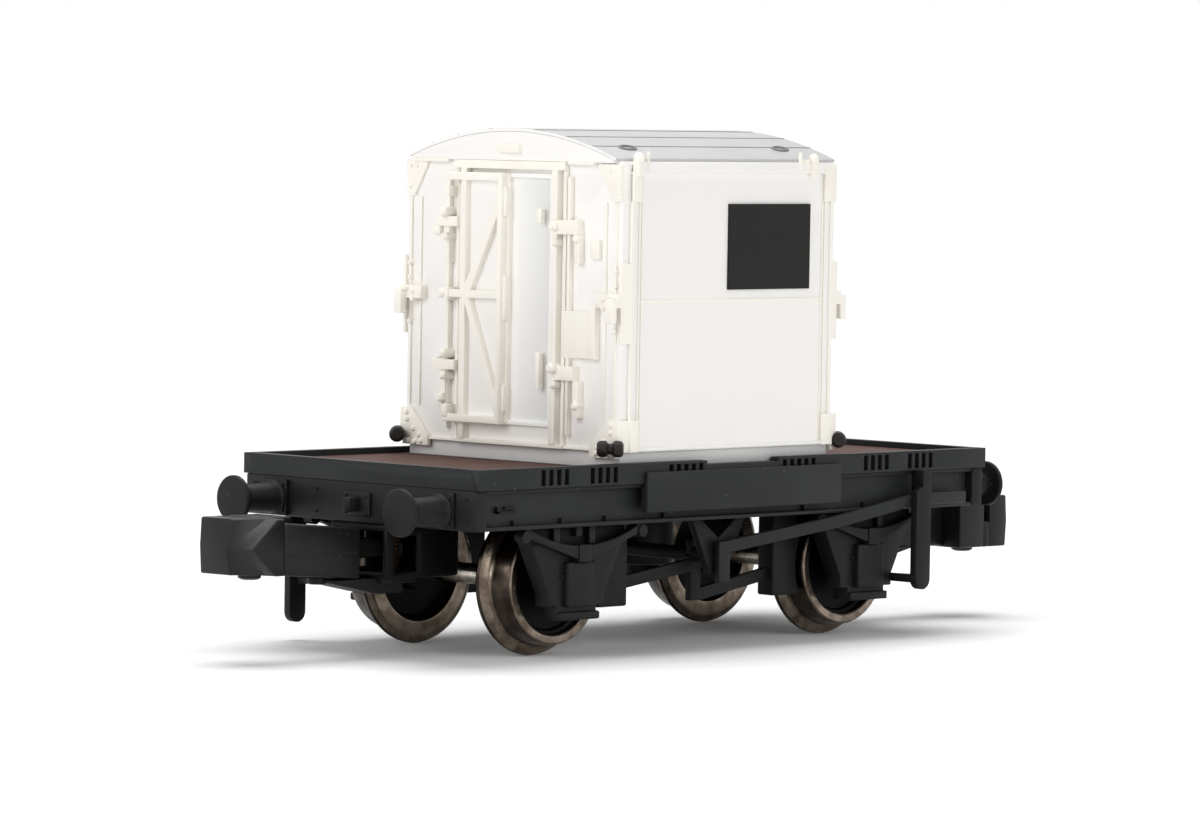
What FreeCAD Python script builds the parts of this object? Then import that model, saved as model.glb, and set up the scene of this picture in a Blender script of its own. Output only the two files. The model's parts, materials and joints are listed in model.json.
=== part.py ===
import FreeCAD, Part
import math
import os
import Sketcher

# A British N scale (1:148) model of a four-wheeled container flat wagon with
# its insulated container. Millimetres at the model's own size, +Z up.
# X runs along the wagon with the container's doors at the -X end, and the
# origin is on the floor under the middle of the wagon.

doc = FreeCAD.newDocument("container_flat_wagon")

# ---------------------------------------------------------------------------
# Driving sizes
# ---------------------------------------------------------------------------

SIZES = (
    # alias, millimetres, what it is
    ("rail_length", 36.04, "deck rails, over the ends"),
    ("rail_width", 16.6, "deck rails, over the sides"),
    ("rail_depth", 1.0, "height of a deck rail"),
    ("rail_thick", 0.55, "thickness of a deck rail"),
    ("deck_top", 9.15, "top of the deck floor"),
    ("deck_thick", 0.7, "thickness of the deck floor"),
    ("kerb_rise", 0.3, "deck rail above the deck floor"),
    ("kerb_dip", 0.2, "how far the kerb is cut down beside the container"),
    ("kerb_dip_half", 2.55, "half length of that cut"),
    ("slot_width", 0.3, "chain pocket slot, along the rail"),
    ("slot_pitch", 0.52, "chain pocket slots, one to the next"),
    ("slot_deep", 0.25, "chain pocket slot, into the rail"),
    ("slot_margin", 0.12, "rail left above and below a slot"),
    ("sole_face", 8.05, "outer face of the solebar flanges, from the middle"),
    ("sole_inner", 6.2, "inner face of the solebars, from the middle"),
    ("sole_recess", 0.4, "depth of the solebar channel"),
    ("sole_flange", 0.2, "thickness of the solebar flanges"),
    ("sole_bottom", 6.5, "underside of the solebars"),
    ("head_thick", 0.75, "thickness of a headstock"),
    ("head_half", 8.1, "half width of a headstock"),
    ("board_half", 6.9, "half length of a nameboard"),
    ("board_low", 7.05, "bottom of a nameboard"),
    ("board_high", 9.0, "top of a nameboard"),
    ("board_proud", 0.25, "nameboard beyond the rail"),
    ("floor_thick", 0.3, "underframe floor plate"),
    ("beam_thick", 0.6, "width of a cross beam"),
    ("weight_half_x", 8.5, "ballast weight, half length"),
    ("weight_half_y", 5.6, "ballast weight, half width"),
    ("weight_thick", 0.5, "ballast weight, height"),
    ("wheelbase", 20.6, "axle to axle"),
    ("axle_height", 3.7, "axle above the floor"),
    ("flange_radius", 3.7, "wheel over the flange tip"),
    ("tread_radius", 3.12, "wheel tread"),
    ("back_half", 3.78, "inner face of a wheel from the middle"),
    ("flange_thick", 0.55, "flange at the tread"),
    ("wheel_width", 1.95, "width of a wheel"),
    ("rim_thick", 0.5, "metal tyre under the tread"),
    ("centre_recess", 0.2, "wheel centre set in from the tyre's face"),
    ("axle_radius", 0.5, "axle"),
    ("journal_radius", 0.3, "axle end in its bearing"),
    ("axle_half", 6.75, "half length of an axle"),
    ("bearing_gap", 0.08, "room round an axle end"),
    ("guard_thick", 1.0, "thickness of an axleguard"),
    ("guard_top_half", 3.2, "half width of an axleguard at its top"),
    ("guard_low_half", 1.9, "half width of an axleguard below"),
    ("guard_waist_z", 3.2, "where the axleguard's slope ends"),
    ("guard_low", 2.35, "bottom of the axleguard plate"),
    ("keep_half", 1.35, "half length of an axleguard keep"),
    ("keep_low", 1.95, "bottom of the keep"),
    ("keep_proud", 0.25, "keep beyond the axleguard"),
    ("guard_shoulder", 5.8, "height of an axleguard's shoulders"),
    ("box_half", 0.95, "half width of an axlebox"),
    ("box_low", 2.6, "bottom of an axlebox"),
    ("box_face", 7.55, "front of an axlebox"),
    ("spring_half", 3.6, "half length of a leaf spring"),
    ("spring_drop", 0.85, "leaf spring, ends to the middle"),
    ("spring_thick", 0.78, "leaf spring, depth in the middle"),
    ("spring_width", 0.5, "leaf spring, across"),
    ("spring_gap", 0.1, "leaf spring ends below the solebar"),
    ("spring_shoe", 0.35, "spring hanger at the end of a leaf spring"),
    ("spring_shoe_deep", 0.3, "that hanger below the spring's end"),
    ("buckle_half", 0.4, "half length of a spring buckle"),
    ("buckle_rise", 0.05, "spring buckle above the spring"),
    ("buckle_proud", 0.06, "spring buckle beyond the spring"),
    ("hanger_plane", 6.7, "outer face of a V hanger"),
    ("hanger_thick", 0.4, "thickness of a V hanger"),
    ("hanger_half", 1.9, "V hanger, half width at its top"),
    ("hanger_leg", 0.55, "V hanger leg"),
    ("hanger_eye", 0.9, "V hanger below and above the shaft's middle"),
    ("shaft_reach", 0.12, "brake shaft beyond a V hanger"),
    ("shaft_z", 4.55, "brake shaft height"),
    ("shaft_radius", 0.35, "brake shaft"),
    ("shoe_gap", 0.3, "brake block to wheel tread"),
    ("shoe_thick", 0.6, "brake block"),
    ("shoe_back", 1.08, "brake block's backing, towards the middle"),
    ("shoe_width", 1.1, "brake block, across"),
    ("shoe_plane", 4.45, "inner face of a brake block"),
    ("shoe_half", 1.45, "half height of a brake block"),
    ("shoe_hanger", 1.1, "brake block hanger, across"),
    ("rod_thick", 0.35, "push rod, across"),
    ("rod_pin_x", 0.35, "push rod pin from the shaft, along the wagon"),
    ("rod_low_z", 2.55, "lower push rod at the crank"),
    ("rod_high_z", 4.0, "upper push rod at the crank"),
    ("rod_end_z", 3.35, "push rods at the blocks"),
    ("rod_depth", 0.6, "push rod, height"),
    ("cylinder_radius", 1.7, "brake cylinder"),
    ("cylinder_x", 2.3, "brake cylinder's middle, along the wagon"),
    ("cylinder_y", 1.0, "brake cylinder's middle, across"),
    ("cylinder_low", 3.6, "bottom of the brake cylinder"),
    ("lever_start_z", 5.0, "brake lever at its knuckle"),
    ("lever_end_z", 7.0, "brake lever at the guard"),
    ("lever_deep", 0.62, "depth of the brake lever"),
    ("lever_thick", 0.35, "thickness of the brake lever"),
    ("lever_past_axle", 2.3, "where the lever's handle begins, past the axle"),
    ("handle_length", 3.8, "lever's handle"),
    ("lever_out", 8.12, "inner face of the lever at its handle"),
    ("lever_crank", 7.0, "where the lever has come out to that distance, along the wagon"),
    ("knuckle_half", 0.39, "half width of the lever's knuckle"),
    ("knuckle_drop", 1.3, "lever's knuckle below the shaft"),
    ("guard_stay_low", 2.8, "bottom of the stay from an axleguard to the lever guard"),
    ("guard_stay_high", 3.2, "top of that stay"),
    ("post_width", 1.05, "lever guard, along the wagon"),
    ("post_neck", 0.6, "lever guard above the lever, along the wagon"),
    ("post_gap", 0.1, "lever to the neck of its guard"),
    ("post_thick", 0.4, "lever guard, across"),
    ("buffer_y", 5.87, "buffer from the middle"),
    ("buffer_z", 7.4, "buffer height"),
    ("buffer_length", 3.0, "buffer beyond the headstock"),
    ("buffer_radius", 1.15, "buffer head"),
    ("buffer_head", 0.35, "thickness of a buffer head"),
    ("barrel_radius", 0.55, "buffer barrel at the head"),
    ("barrel_root", 0.75, "buffer barrel at the headstock"),
    ("plate_size", 1.75, "buffer base plate"),
    ("plate_thick", 0.2, "buffer base plate"),
    ("hook_half", 0.9, "drawhook plate, half width"),
    ("hook_reach", 0.9, "drawhook beyond the headstock"),
    ("hook_plate_half", 0.6, "drawhook plate, half height"),
    ("hook_thick", 0.5, "drawhook, across"),
    ("hook_deep", 0.7, "drawhook, height"),
    ("pocket_front", 18.0, "mouth of a coupler pocket, from the middle"),
    ("pocket_back", 13.2, "back of a coupler pocket"),
    ("pocket_half", 2.0, "half width of a coupler pocket"),
    ("pocket_low", 3.85, "bottom of a coupler pocket"),
    ("pocket_wall", 0.35, "wall of a coupler pocket"),
    ("window_front", 17.35, "front of the window in a pocket's side, from the middle"),
    ("window_back", 15.85, "back of that window"),
    ("window_low", 4.2, "bottom of that window"),
    ("window_high", 5.9, "top of that window"),
    ("coupler_z", 5.25, "middle of a coupler shank"),
    ("coupler_tip", 26.05, "coupler's front edge, from the middle"),
    ("coupler_half", 1.35, "half height of a coupler head"),
    ("coupler_bevel", 1.7, "depth of the bevels on a coupler head"),
    ("hook_bevel_long", 1.1, "bevels on the hook side, along the wagon"),
    ("hook_bevel_deep", 0.12, "bevel at the hook side's top, height"),
    ("hook_bevel_low", 0.3, "bevel at the hook side's bottom, height"),
    ("coupler_left", 2.45, "coupler head, hook side"),
    ("coupler_right", 1.2, "coupler head, plain side"),
    ("coupler_nose", 0.55, "where the upright part of the nose begins"),
    ("coupler_shoulder", 20.6, "back of the hook side of a coupler head"),
    ("coupler_heel", 23.8, "back of the plain side of a coupler head"),
    ("coupler_back", 18.9, "back of a coupler's deep body"),
    ("coupler_body", 1.15, "half width of that body"),
    ("coupler_step", 0.35, "that body's top below the head's"),
    ("coupler_slot_in", 1.4, "coupler's slot behind its tip"),
    ("coupler_slot", 0.4, "coupler's slot, along the wagon"),
    ("shank_half", 0.75, "half width of a coupler shank"),
    ("shank_deep", 0.42, "half height of a coupler shank"),
    ("pivot_x", 16.6, "coupler pivot, from the middle"),
    ("pivot_half", 1.2, "half length of a coupler pivot"),
    ("front_rise", 0.35, "front coupler's head above its shank"),
    ("rear_rise", -0.2, "rear coupler's head above its shank"),
    ("rear_pull", 0.5, "rear coupler pulled out further than the front one"),
    ("box_length", 14.3, "container's side walls, along the wagon"),
    ("box_setback", 0.75, "container walls from the deck rails' outer faces"),
    ("box_middle", -0.45, "middle of the container along the wagon"),
    ("box_shift", -0.2, "container off the wagon's middle line"),
    ("box_wall", 0.9, "container wall"),
    ("end_proud", 0.5, "container's door end beyond its side walls"),
    ("back_proud", 0.2, "container's rear end beyond its side walls"),
    ("corner_notch", 0.05, "step at each upright corner, across"),
    ("base_height", 0.8, "container base strip"),
    ("base_inset", 0.15, "container base inside the walls"),
    ("eaves", 24.0, "top of the side walls"),
    ("roof_inset", 0.3, "roof sheet's edge inside the side walls"),
    ("roof_rise", 1.35, "roof, eaves to the top"),
    ("roof_thick", 0.15, "roof sheet"),
    ("gable_proud", 0.25, "gable plate beyond the end"),
    ("gable_inset", 0.45, "gable plate inside the side walls"),
    ("gable_low", 23.9, "bottom of a gable plate"),
    ("door_proud", 0.4, "left door's panel beyond the end wall"),
    ("door_shut_proud", 0.05, "right door's panel beyond the end wall"),
    ("door_meet", -0.15, "left door's edge past the middle"),
    ("door_gap", 0.04, "between the two doors"),
    ("door_half", 2.95, "half width of the doorway"),
    ("door_low", 10.95, "bottom of the doors"),
    ("door_high", 23.3, "top of the doors"),
    ("door_mid", 17.3, "middle of the left door's middle rail"),
    ("brace_proud", 0.35, "left door's rails and braces beyond its panel"),
    ("brace_rail", 0.4, "left door's rails, height"),
    ("brace_stile", 0.3, "left door's upright edges"),
    ("brace_width", 1.0, "left door's diagonals, height of their ends"),
    ("brace_top_gap", 1.15, "upper diagonal's end below the door's top"),
    ("brace_low_gap", 0.5, "lower diagonal's end above the door's bottom"),
    ("strap_reach", 1.2, "hinge straps beyond the left door"),
    ("edge_width", 0.22, "raised border of the right door"),
    ("edge_proud", 0.15, "raised border of the right door, beyond its panel"),
    ("hinge_gap", 0.05, "hinge post from the door's edge"),
    ("hinge_width", 0.4, "hinge post"),
    ("hinge_proud", 0.4, "hinge post beyond the end wall"),
    ("jamb_gap", 0.25, "door jamb from the hinge post"),
    ("jamb_width", 0.2, "door jamb"),
    ("jamb_proud", 0.2, "door jamb beyond the end wall"),
    ("header_low", 23.5, "bottom of the bar over the doors"),
    ("header_height", 0.4, "bar over the doors"),
    ("header_proud", 0.35, "bar over the doors, beyond the end wall"),
    ("sill_height", 0.2, "door sill above the bottom of the wall"),
    ("sill_proud", 0.3, "door sill beyond the end wall"),
    ("ledge_height", 0.15, "ledge beside the sill"),
    ("ledge_proud", 0.15, "ledge beside the sill, beyond the end wall"),
    ("panel_x", -0.8, "label panel, left edge"),
    ("panel_length", 5.8, "label panel, along"),
    ("panel_low", 17.75, "label panel, bottom edge"),
    ("panel_height", 4.2, "label panel, height"),
    ("panel_thick", 0.12, "label panel"),
    ("shackle_radius", 0.4, "shackle barrel"),
    ("shackle_half", 0.65, "shackle, half length"),
    ("shackle_out", 0.35, "shackle's middle before the gusset"),
    ("shackle_z", 10.15, "shackle height"),
    ("lug_height", 0.4, "lug that carries a shackle"),
    ("gusset_thick", 0.25, "corner gusset"),
    ("gusset_drop", 0.3, "corner gusset below the walls"),
    ("gusset_foot", 1.8, "corner gusset along the end at its foot"),
    ("gusset_toe", 0.55, "upright edge of the corner gusset's foot"),
    ("gusset_head", 0.55, "corner gusset along the end at its top"),
    ("gusset_high", 11.5, "top of a corner gusset"),
    ("post_narrow", 0.2, "corner post along a side wall"),
    ("post_proud", 0.12, "corner post beyond a side wall"),
    ("casting_z", 16.95, "bottom of a corner casting"),
    ("casting_height", 0.65, "corner casting"),
    ("casting_reach", 1.4, "corner casting along the end"),
    ("casting_proud", 0.45, "corner casting beyond the end"),
    ("eye_low", 16.2, "bottom of the eye on a corner casting"),
    ("eye_high", 17.4, "top of the eye on a corner casting"),
    ("eye_out", 0.35, "eye beyond its casting"),
    ("eye_wide", 0.5, "eye on a corner casting, across"),
    ("strap_low", 15.2, "bottom of the upright strap on a corner"),
    ("strap_high", 19.1, "top of the upright strap on a corner"),
    ("strap_proud", 0.15, "upright strap beyond the end"),
    ("eaves_strip", 0.55, "moulding at the eaves, height"),
    ("eaves_proud", 0.18, "moulding at the eaves, beyond the wall"),
    ("foot_height", 0.2, "moulding at the foot of a side wall"),
    ("foot_proud", 0.12, "moulding at the foot of a side wall, beyond the wall"),
)


class Dim:
    """A length that keeps its value and the sheet expression it comes from."""

    def __init__(self, value, text=None):
        self.value = float(value)
        self.text = text if text else "%.6g" % value
        self.bound = bool(text)

    def join(self, other, sign, value):
        other = dim(other)
        result = Dim(value, "(%s %s %s)" % (self.text, sign, other.text))
        result.bound = self.bound or other.bound
        return result

    def __add__(self, other):
        return self.join(other, "+", self.value + dim(other).value)

    def __sub__(self, other):
        return self.join(other, "-", self.value - dim(other).value)

    def __mul__(self, other):
        return self.join(other, "*", self.value * dim(other).value)

    def __truediv__(self, other):
        return self.join(other, "/", self.value / dim(other).value)

    def __neg__(self):
        return self * -1

    def __radd__(self, other):
        return dim(other) + self

    def __rsub__(self, other):
        return dim(other) - self

    def __rmul__(self, other):
        return dim(other) * self


def dim(value):
    return value if isinstance(value, Dim) else Dim(value)


def root(length):
    return Dim(math.sqrt(length.value), "sqrt(%s)" % length.text)


sheet = doc.addObject("Spreadsheet::Sheet", "Sizes")
D = {}
for row, (alias, size, meaning) in enumerate(SIZES, start=1):
    sheet.set("A%d" % row, meaning)
    sheet.set("B%d" % row, "%.6g" % size)
    sheet.setAlias("B%d" % row, alias)
    D[alias] = Dim(size, "Sizes." + alias)
doc.recompute()


# ---------------------------------------------------------------------------
# Ways of making shapes
# ---------------------------------------------------------------------------

BEYOND = 1.0      # how far a cutter runs past what it cuts
ORIGIN_PLANE = {"XY": "XY_Plane", "XZ": "XZ_Plane", "YZ": "YZ_Plane"}


def bind(item, **lengths):
    """Tie properties of an object to the sheet; __ stands for a dot."""
    for path, length in lengths.items():
        item.setExpression(path.replace("__", "."), dim(length).text)


def place(item, x=0, y=0, z=0):
    bind(item, Placement__Base__x=x, Placement__Base__y=y, Placement__Base__z=z)


def turn(item, axis, angle):
    item.Placement.Rotation = FreeCAD.Rotation(FreeCAD.Vector(*axis), angle)


def box(name, x, y, z):
    """A block between two limits along each axis."""
    item = doc.addObject("Part::Box", name)
    spans = [(dim(low), dim(high)) for low, high in (x, y, z)]
    bind(item, Length=spans[0][1] - spans[0][0], Width=spans[1][1] - spans[1][0],
         Height=spans[2][1] - spans[2][0])
    place(item, spans[0][0], spans[1][0], spans[2][0])
    return item


def ordered(*limits):
    """Two limits, the lower one first."""
    return sorted((dim(limit) for limit in limits), key=lambda limit: limit.value)


AXES = {"X": ((0, 1, 0), 90), "Y": ((1, 0, 0), -90), "Z": ((0, 0, 1), 0)}


def rod(name, axis, radius, start, length):
    """A round bar from its start point along an axis."""
    item = doc.addObject("Part::Cylinder", name)
    bind(item, Radius=radius, Height=length)
    turn(item, *AXES[axis])
    place(item, *start)
    return item


def taper(name, axis, radius1, radius2, start, length):
    item = doc.addObject("Part::Cone", name)
    bind(item, Radius1=radius1, Radius2=radius2, Height=length)
    turn(item, *AXES[axis])
    place(item, *start)
    return item


def arc_between(start, middle, end):
    """An anticlockwise arc through three points, and whether it runs end to start."""
    arc = Part.Arc(start, middle, end).toShape().Curve
    centre = arc.Center
    flipped = (middle - start).cross(end - start).z < 0
    first, last = (end, start) if flipped else (start, end)
    angles = [math.atan2(p.y - centre.y, p.x - centre.x) for p in (first, last)]
    circle = Part.Circle(centre, FreeCAD.Vector(0, 0, 1), arc.Radius)
    return Part.ArcOfCircle(circle, angles[0], angles[1]), flipped


def outline(sketch, corners):
    """Closed outline through (x, y) corners.

    A corner may carry a third entry, (radius, middle point), and then an arc
    leads from it to the next corner.
    """
    count = len(corners)
    at = [FreeCAD.Vector(dim(c[0]).value, dim(c[1]).value, 0) for c in corners]
    ends = []
    for i, corner in enumerate(corners):
        start, end = at[i], at[(i + 1) % count]
        if len(corner) > 2:
            middle = FreeCAD.Vector(*[dim(m).value for m in corner[2][1]], 0)
            curve, flipped = arc_between(start, middle, end)
        else:
            curve, flipped = Part.LineSegment(start, end), False
        sketch.addGeometry(curve, False)
        ends.append((2, 1) if flipped else (1, 2))
    for i in range(count):
        j = (i + 1) % count
        sketch.addConstraint(Sketcher.Constraint("Coincident", i, ends[i][1], j, ends[j][0]))
    for i, corner in enumerate(corners):
        for kind, letter, value in (("DistanceX", "x", corner[0]), ("DistanceY", "y", corner[1])):
            number = sketch.addConstraint(
                Sketcher.Constraint(kind, -1, 1, i, ends[i][0], dim(value).value))
            sketch.renameConstraint(number, "%s%d" % (letter, i))
            if dim(value).bound:
                sketch.setExpression("Constraints.%s%d" % (letter, i), dim(value).text)
        if len(corner) > 2:
            number = sketch.addConstraint(
                Sketcher.Constraint("Radius", i, dim(corner[2][0]).value))
            sketch.renameConstraint(number, "radius%d" % i)
            sketch.setExpression("Constraints.radius%d" % i, dim(corner[2][0]).text)


def prism(name, plane, corners, low, high):
    """An outline on a plane, padded from low to high along the third axis."""
    body = doc.addObject("PartDesign::Body", name)
    sketch = body.newObject("Sketcher::SketchObject", name + "_outline")
    for item in body.Origin.OriginFeatures:
        if item.Role == ORIGIN_PLANE[plane]:
            sketch.AttachmentSupport = (item, "")
    sketch.MapMode = "FlatFace"
    outline(sketch, corners)
    pad = body.newObject("PartDesign::Pad", name + "_pad")
    pad.Profile = sketch
    bind(pad, Length=dim(high) - dim(low))
    sketch.Visibility = False
    if plane == "XZ":
        place(body, 0, high, 0)
    elif plane == "YZ":
        place(body, low, 0, 0)
    else:
        place(body, 0, 0, low)
    return body


def fuse(name, items):
    item = doc.addObject("Part::MultiFuse", name)
    item.Shapes = items
    return item


def cut(name, base, tool):
    item = doc.addObject("Part::Cut", name)
    item.Base = base
    item.Tool = tool
    return item


nodes = []


def node(item, label, turned=False):
    """Name a finished piece; a turned one is swung half round the wagon's middle."""
    item.Label = label
    if turned:
        turn(item, (0, 0, 1), 180)
        if item.TypeId in ("Part::Box", "Part::Cylinder", "Part::Cone", "PartDesign::Body"):
            raise ValueError("wrap %s before turning it" % label)
    nodes.append(item)
    return item


def wrap(name, item):
    """A piece inside a compound, so that it can be turned about the middle."""
    group = doc.addObject("Part::Compound", name)
    group.Links = item if isinstance(item, list) else [item]
    return group


# Every pair of pieces is made once for the near side or the door end and
# then again, swung half round, for the other.
SIDES = (("near", False), ("far", True))
ENDS = (("front", False), ("rear", True))

half_length = D["rail_length"] / 2
half_width = D["rail_width"] / 2
rail_top = D["deck_top"] + D["kerb_rise"]
rail_low = rail_top - D["rail_depth"]
deck_low = D["deck_top"] - D["deck_thick"]


# ---------------------------------------------------------------------------
# Deck and frame
# ---------------------------------------------------------------------------

def make_deck():
    inside_x = half_length - D["rail_thick"]
    inside_y = half_width - D["rail_thick"]
    floor = box("deck", (-inside_x, inside_x), (-inside_y, inside_y), (deck_low, D["deck_top"]))
    node(floor, "deck_floor")


# chain pocket slots on each side rail
SLOT_GROUPS = (
    # first slot's x, last slot's x
    (-13.9, -12.34),
    (-10.6, -9.04),
    (-5.2, -3.12),
    (2.85, 4.93),
    (8.8, 10.36),
    (12.1, 13.66),
)


def make_side_rail(side, turned):
    y = (-half_width, -half_width + D["rail_thick"])
    blank = box("side_rail_blank_" + side, (-half_length, half_length), y, (rail_low, rail_top))
    tools = [box("kerb_dip_" + side, (-D["kerb_dip_half"], D["kerb_dip_half"]),
                 (-half_width - BEYOND, half_width), (rail_top - D["kerb_dip"], rail_top + BEYOND))]
    for first, last in SLOT_GROUPS:
        for step in range(1 + round((last - first) / D["slot_pitch"].value)):
            left = first + step * D["slot_pitch"]
            tools.append(box("slot_%s_%d" % (side, len(tools)), (left, left + D["slot_width"]),
                             (-half_width - BEYOND, -half_width + D["slot_deep"]),
                             (rail_low + D["slot_margin"], rail_top - D["slot_margin"])))
    rail = cut("side_rail_" + side, blank, fuse("slots_" + side, tools))
    node(rail, "side_rail_" + side, turned)


def make_end_rail(end, turned):
    inside_y = half_width - D["rail_thick"]
    rail = box("end_rail_block_" + end, (-half_length, -half_length + D["rail_thick"]),
               (-inside_y, inside_y), (rail_low, rail_top))
    node(wrap("end_rail_" + end, rail), "end_rail_" + end, turned)


sole_inner = D["sole_inner"]
head_inner = half_length - D["head_thick"]


def make_solebar(side, turned):
    face = D["sole_face"]
    web = face - D["sole_recess"]
    flange = D["sole_flange"]
    low, high = D["sole_bottom"], rail_low
    corners = ((-face, low), (-sole_inner, low), (-sole_inner, high), (-face, high),
               (-face, high - flange), (-web, high - flange), (-web, low + flange),
               (-face, low + flange))
    bar = prism("solebar_bar_" + side, "YZ", corners, -head_inner, head_inner)
    node(wrap("solebar_" + side, bar), "solebar_" + side, turned)


def make_headstock(end, turned):
    bar = box("headstock_bar_" + end, (-half_length, -head_inner),
              (-D["head_half"], D["head_half"]), (D["sole_bottom"], rail_low))
    node(wrap("headstock_" + end, bar), "headstock_" + end, turned)


def make_nameboard(side, turned):
    half = D["board_half"]
    face = half_width + D["board_proud"]
    board = fuse("nameboard_" + side, [
        box("board_face_" + side, (-half, half), (-face, -half_width), (D["board_low"], D["board_high"])),
        box("board_back_" + side, (-half, half), (-half_width, -D["sole_face"]),
            (D["board_low"], rail_low)),
    ])
    node(board, "nameboard_" + side, turned)


block_x = D["wheelbase"] / 2 - D["tread_radius"] - D["shoe_gap"] - D["shoe_thick"] / 2
BEAMS = (block_x, dim(2.0))      # cross beams, from the middle


def make_underframe():
    low = D["sole_bottom"] + D["sole_flange"]
    top = deck_low - D["weight_thick"]
    thick = D["beam_thick"]
    plate = box("floor_plate", (-head_inner, head_inner), (-sole_inner, sole_inner),
                (top - D["floor_thick"], top))
    beams = [plate]
    for number, x in enumerate(BEAMS):
        for sign in (-1, 1):
            beams.append(box("cross_beam_%d_%d" % (number, sign + 1),
                             (sign * x - thick / 2, sign * x + thick / 2),
                             (-sole_inner, sole_inner), (low, top - D["floor_thick"])))
    for sign, end in ((-1, "front"), (1, "rear")):
        x = ordered(sign * D["pocket_back"], sign * head_inner)
        beams.append(box("pocket_pad_" + end, x, (-D["pocket_half"], D["pocket_half"]),
                         (D["sole_bottom"], top - D["floor_thick"])))
    node(fuse("underframe", beams), "underframe")


def make_weight():
    half_x, half_y = D["weight_half_x"], D["weight_half_y"]
    block = box("weight", (-half_x, half_x), (-half_y, half_y),
                (deck_low - D["weight_thick"], deck_low))
    node(block, "ballast_weight")


# ---------------------------------------------------------------------------
# Running gear
# ---------------------------------------------------------------------------

def make_wheelset(end, sign):
    x = sign * D["wheelbase"] / 2
    z = D["axle_height"]
    back, width = D["back_half"], D["wheel_width"]
    inner_radius = D["tread_radius"] - D["rim_thick"]
    recess = D["centre_recess"]
    tyres, centres = [], []
    for side, out in (("near", -1), ("far", 1)):
        name = "%s_%s" % (end, side)

        def ring(label, radius, inner, outer):
            low, high = ordered(out * inner, out * outer)
            return rod("%s_%s" % (label, name), "Y", radius, (x, low, z), high - low)

        flange = ring("flange", D["flange_radius"], back, back + D["flange_thick"])
        tread = ring("tread", D["tread_radius"], back, back + width)
        bore = ring("tyre_bore", inner_radius, back - BEYOND, back + width + BEYOND)
        tyres.append(cut("tyre_" + name, fuse("tyre_blank_" + name, [flange, tread]), bore))
        disc = ring("disc", inner_radius, back + recess, back + width - recess)
        hole = ring("axle_hole", D["axle_radius"], back - BEYOND, back + width + BEYOND)
        centres.append(cut("centre_" + name, disc, hole))
    node(wrap("tyres_" + end, tyres), "tyres_" + end)
    node(wrap("wheel_centres_" + end, centres), "wheel_centres_" + end)
    half = back + width
    shaft = rod("axle_shaft_" + end, "Y", D["axle_radius"], (x, -half, z), 2 * half)
    journal = rod("axle_journal_" + end, "Y", D["journal_radius"], (x, -D["axle_half"], z),
                  2 * D["axle_half"])
    node(fuse("axle_" + end, [shaft, journal]), "axle_" + end)


spring_low = (D["sole_bottom"] - D["spring_gap"] - D["spring_drop"]      # underside of a spring
              - D["spring_thick"])


def make_axleguard(name, sign, turned):
    """W iron with its keep and axlebox, on the near side."""
    x = sign * D["wheelbase"] / 2
    inner, outer = D["sole_inner"], D["sole_inner"] + D["guard_thick"]
    top = D["sole_bottom"]
    wide, low = D["guard_top_half"], D["guard_low_half"]
    keep = D["keep_half"]
    shoulder = D["guard_shoulder"]
    corners = ((x - wide, shoulder), (x - low, D["guard_waist_z"]), (x - low, D["box_low"]),
               (x - keep, D["box_low"]), (x - keep, D["guard_low"]), (x + keep, D["guard_low"]),
               (x + keep, D["box_low"]), (x + low, D["box_low"]), (x + low, D["guard_waist_z"]),
               (x + wide, shoulder), (x + wide, top), (x - wide, top))
    plate = prism("guard_plate_" + name, "XZ", corners, -outer, -inner)
    tie = box("guard_keep_" + name, (x - keep, x + keep), (-outer - D["keep_proud"], -inner),
              (D["keep_low"], D["guard_low"]))
    case = box("axlebox_" + name, (x - D["box_half"], x + D["box_half"]), (-D["box_face"], -outer),
               (D["box_low"], spring_low))
    solid = fuse("guard_solid_" + name, [plate, tie, case])
    depth = D["axle_half"] + 2 * D["bearing_gap"]
    hole = rod("guard_hole_" + name, "Y", D["journal_radius"] + D["bearing_gap"],
               (x, -depth, D["axle_height"]), depth - inner + BEYOND)
    node(cut("axleguard_" + name, solid, hole), "axleguard_" + name, turned)


def make_springs(side, turned):
    """Both leaf springs of the near side, with their hangers and buckles."""
    top = D["sole_bottom"]
    high = top - D["spring_gap"]
    half, drop, thick = D["spring_half"], D["spring_drop"], D["spring_thick"]
    shoe, toe = D["spring_shoe"], high - D["spring_shoe_deep"]
    radius = (half * half + drop * drop) / (2 * drop)
    inner = D["sole_inner"] + D["guard_thick"]
    outer = inner + D["spring_width"]
    buckle = D["buckle_half"]
    springs = []
    for sign in (-1, 1):
        x = sign * D["wheelbase"] / 2
        low = high - drop
        tag = "%s_%d" % (side, sign + 1)
        corners = ((x - half, top), (x - half, high, (radius, (x, low))), (x + half, high),
                   (x + half, top), (x + half + shoe, top), (x + half + shoe, toe),
                   (x, low - thick), (x - half - shoe, toe), (x - half - shoe, top))
        leaves = prism("spring_" + tag, "XZ", corners, -outer, -inner)
        clasp = box("buckle_" + tag, (x - buckle, x + buckle), (-outer - D["buckle_proud"], -inner),
                    (low - thick, low + D["buckle_rise"]))
        springs.append(fuse("spring_buckle_" + tag, [leaves, clasp]))
    node(wrap("springs_" + side, springs), "springs_" + side, turned)


# ---------------------------------------------------------------------------
# Brake gear
# ---------------------------------------------------------------------------

def bar(name, start, end, deep, low, high):
    """A flat bar in the XZ plane between two points, with upright ends."""
    (x1, z1), (x2, z2) = start, end
    half = deep / 2
    corners = ((x1, z1 - half), (x2, z2 - half), (x2, z2 + half), (x1, z1 + half))
    return prism(name, "XZ", corners, low, high)


lever_in = D["hanger_plane"] + D["shaft_reach"]      # inner face of the lever at its knuckle


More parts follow.
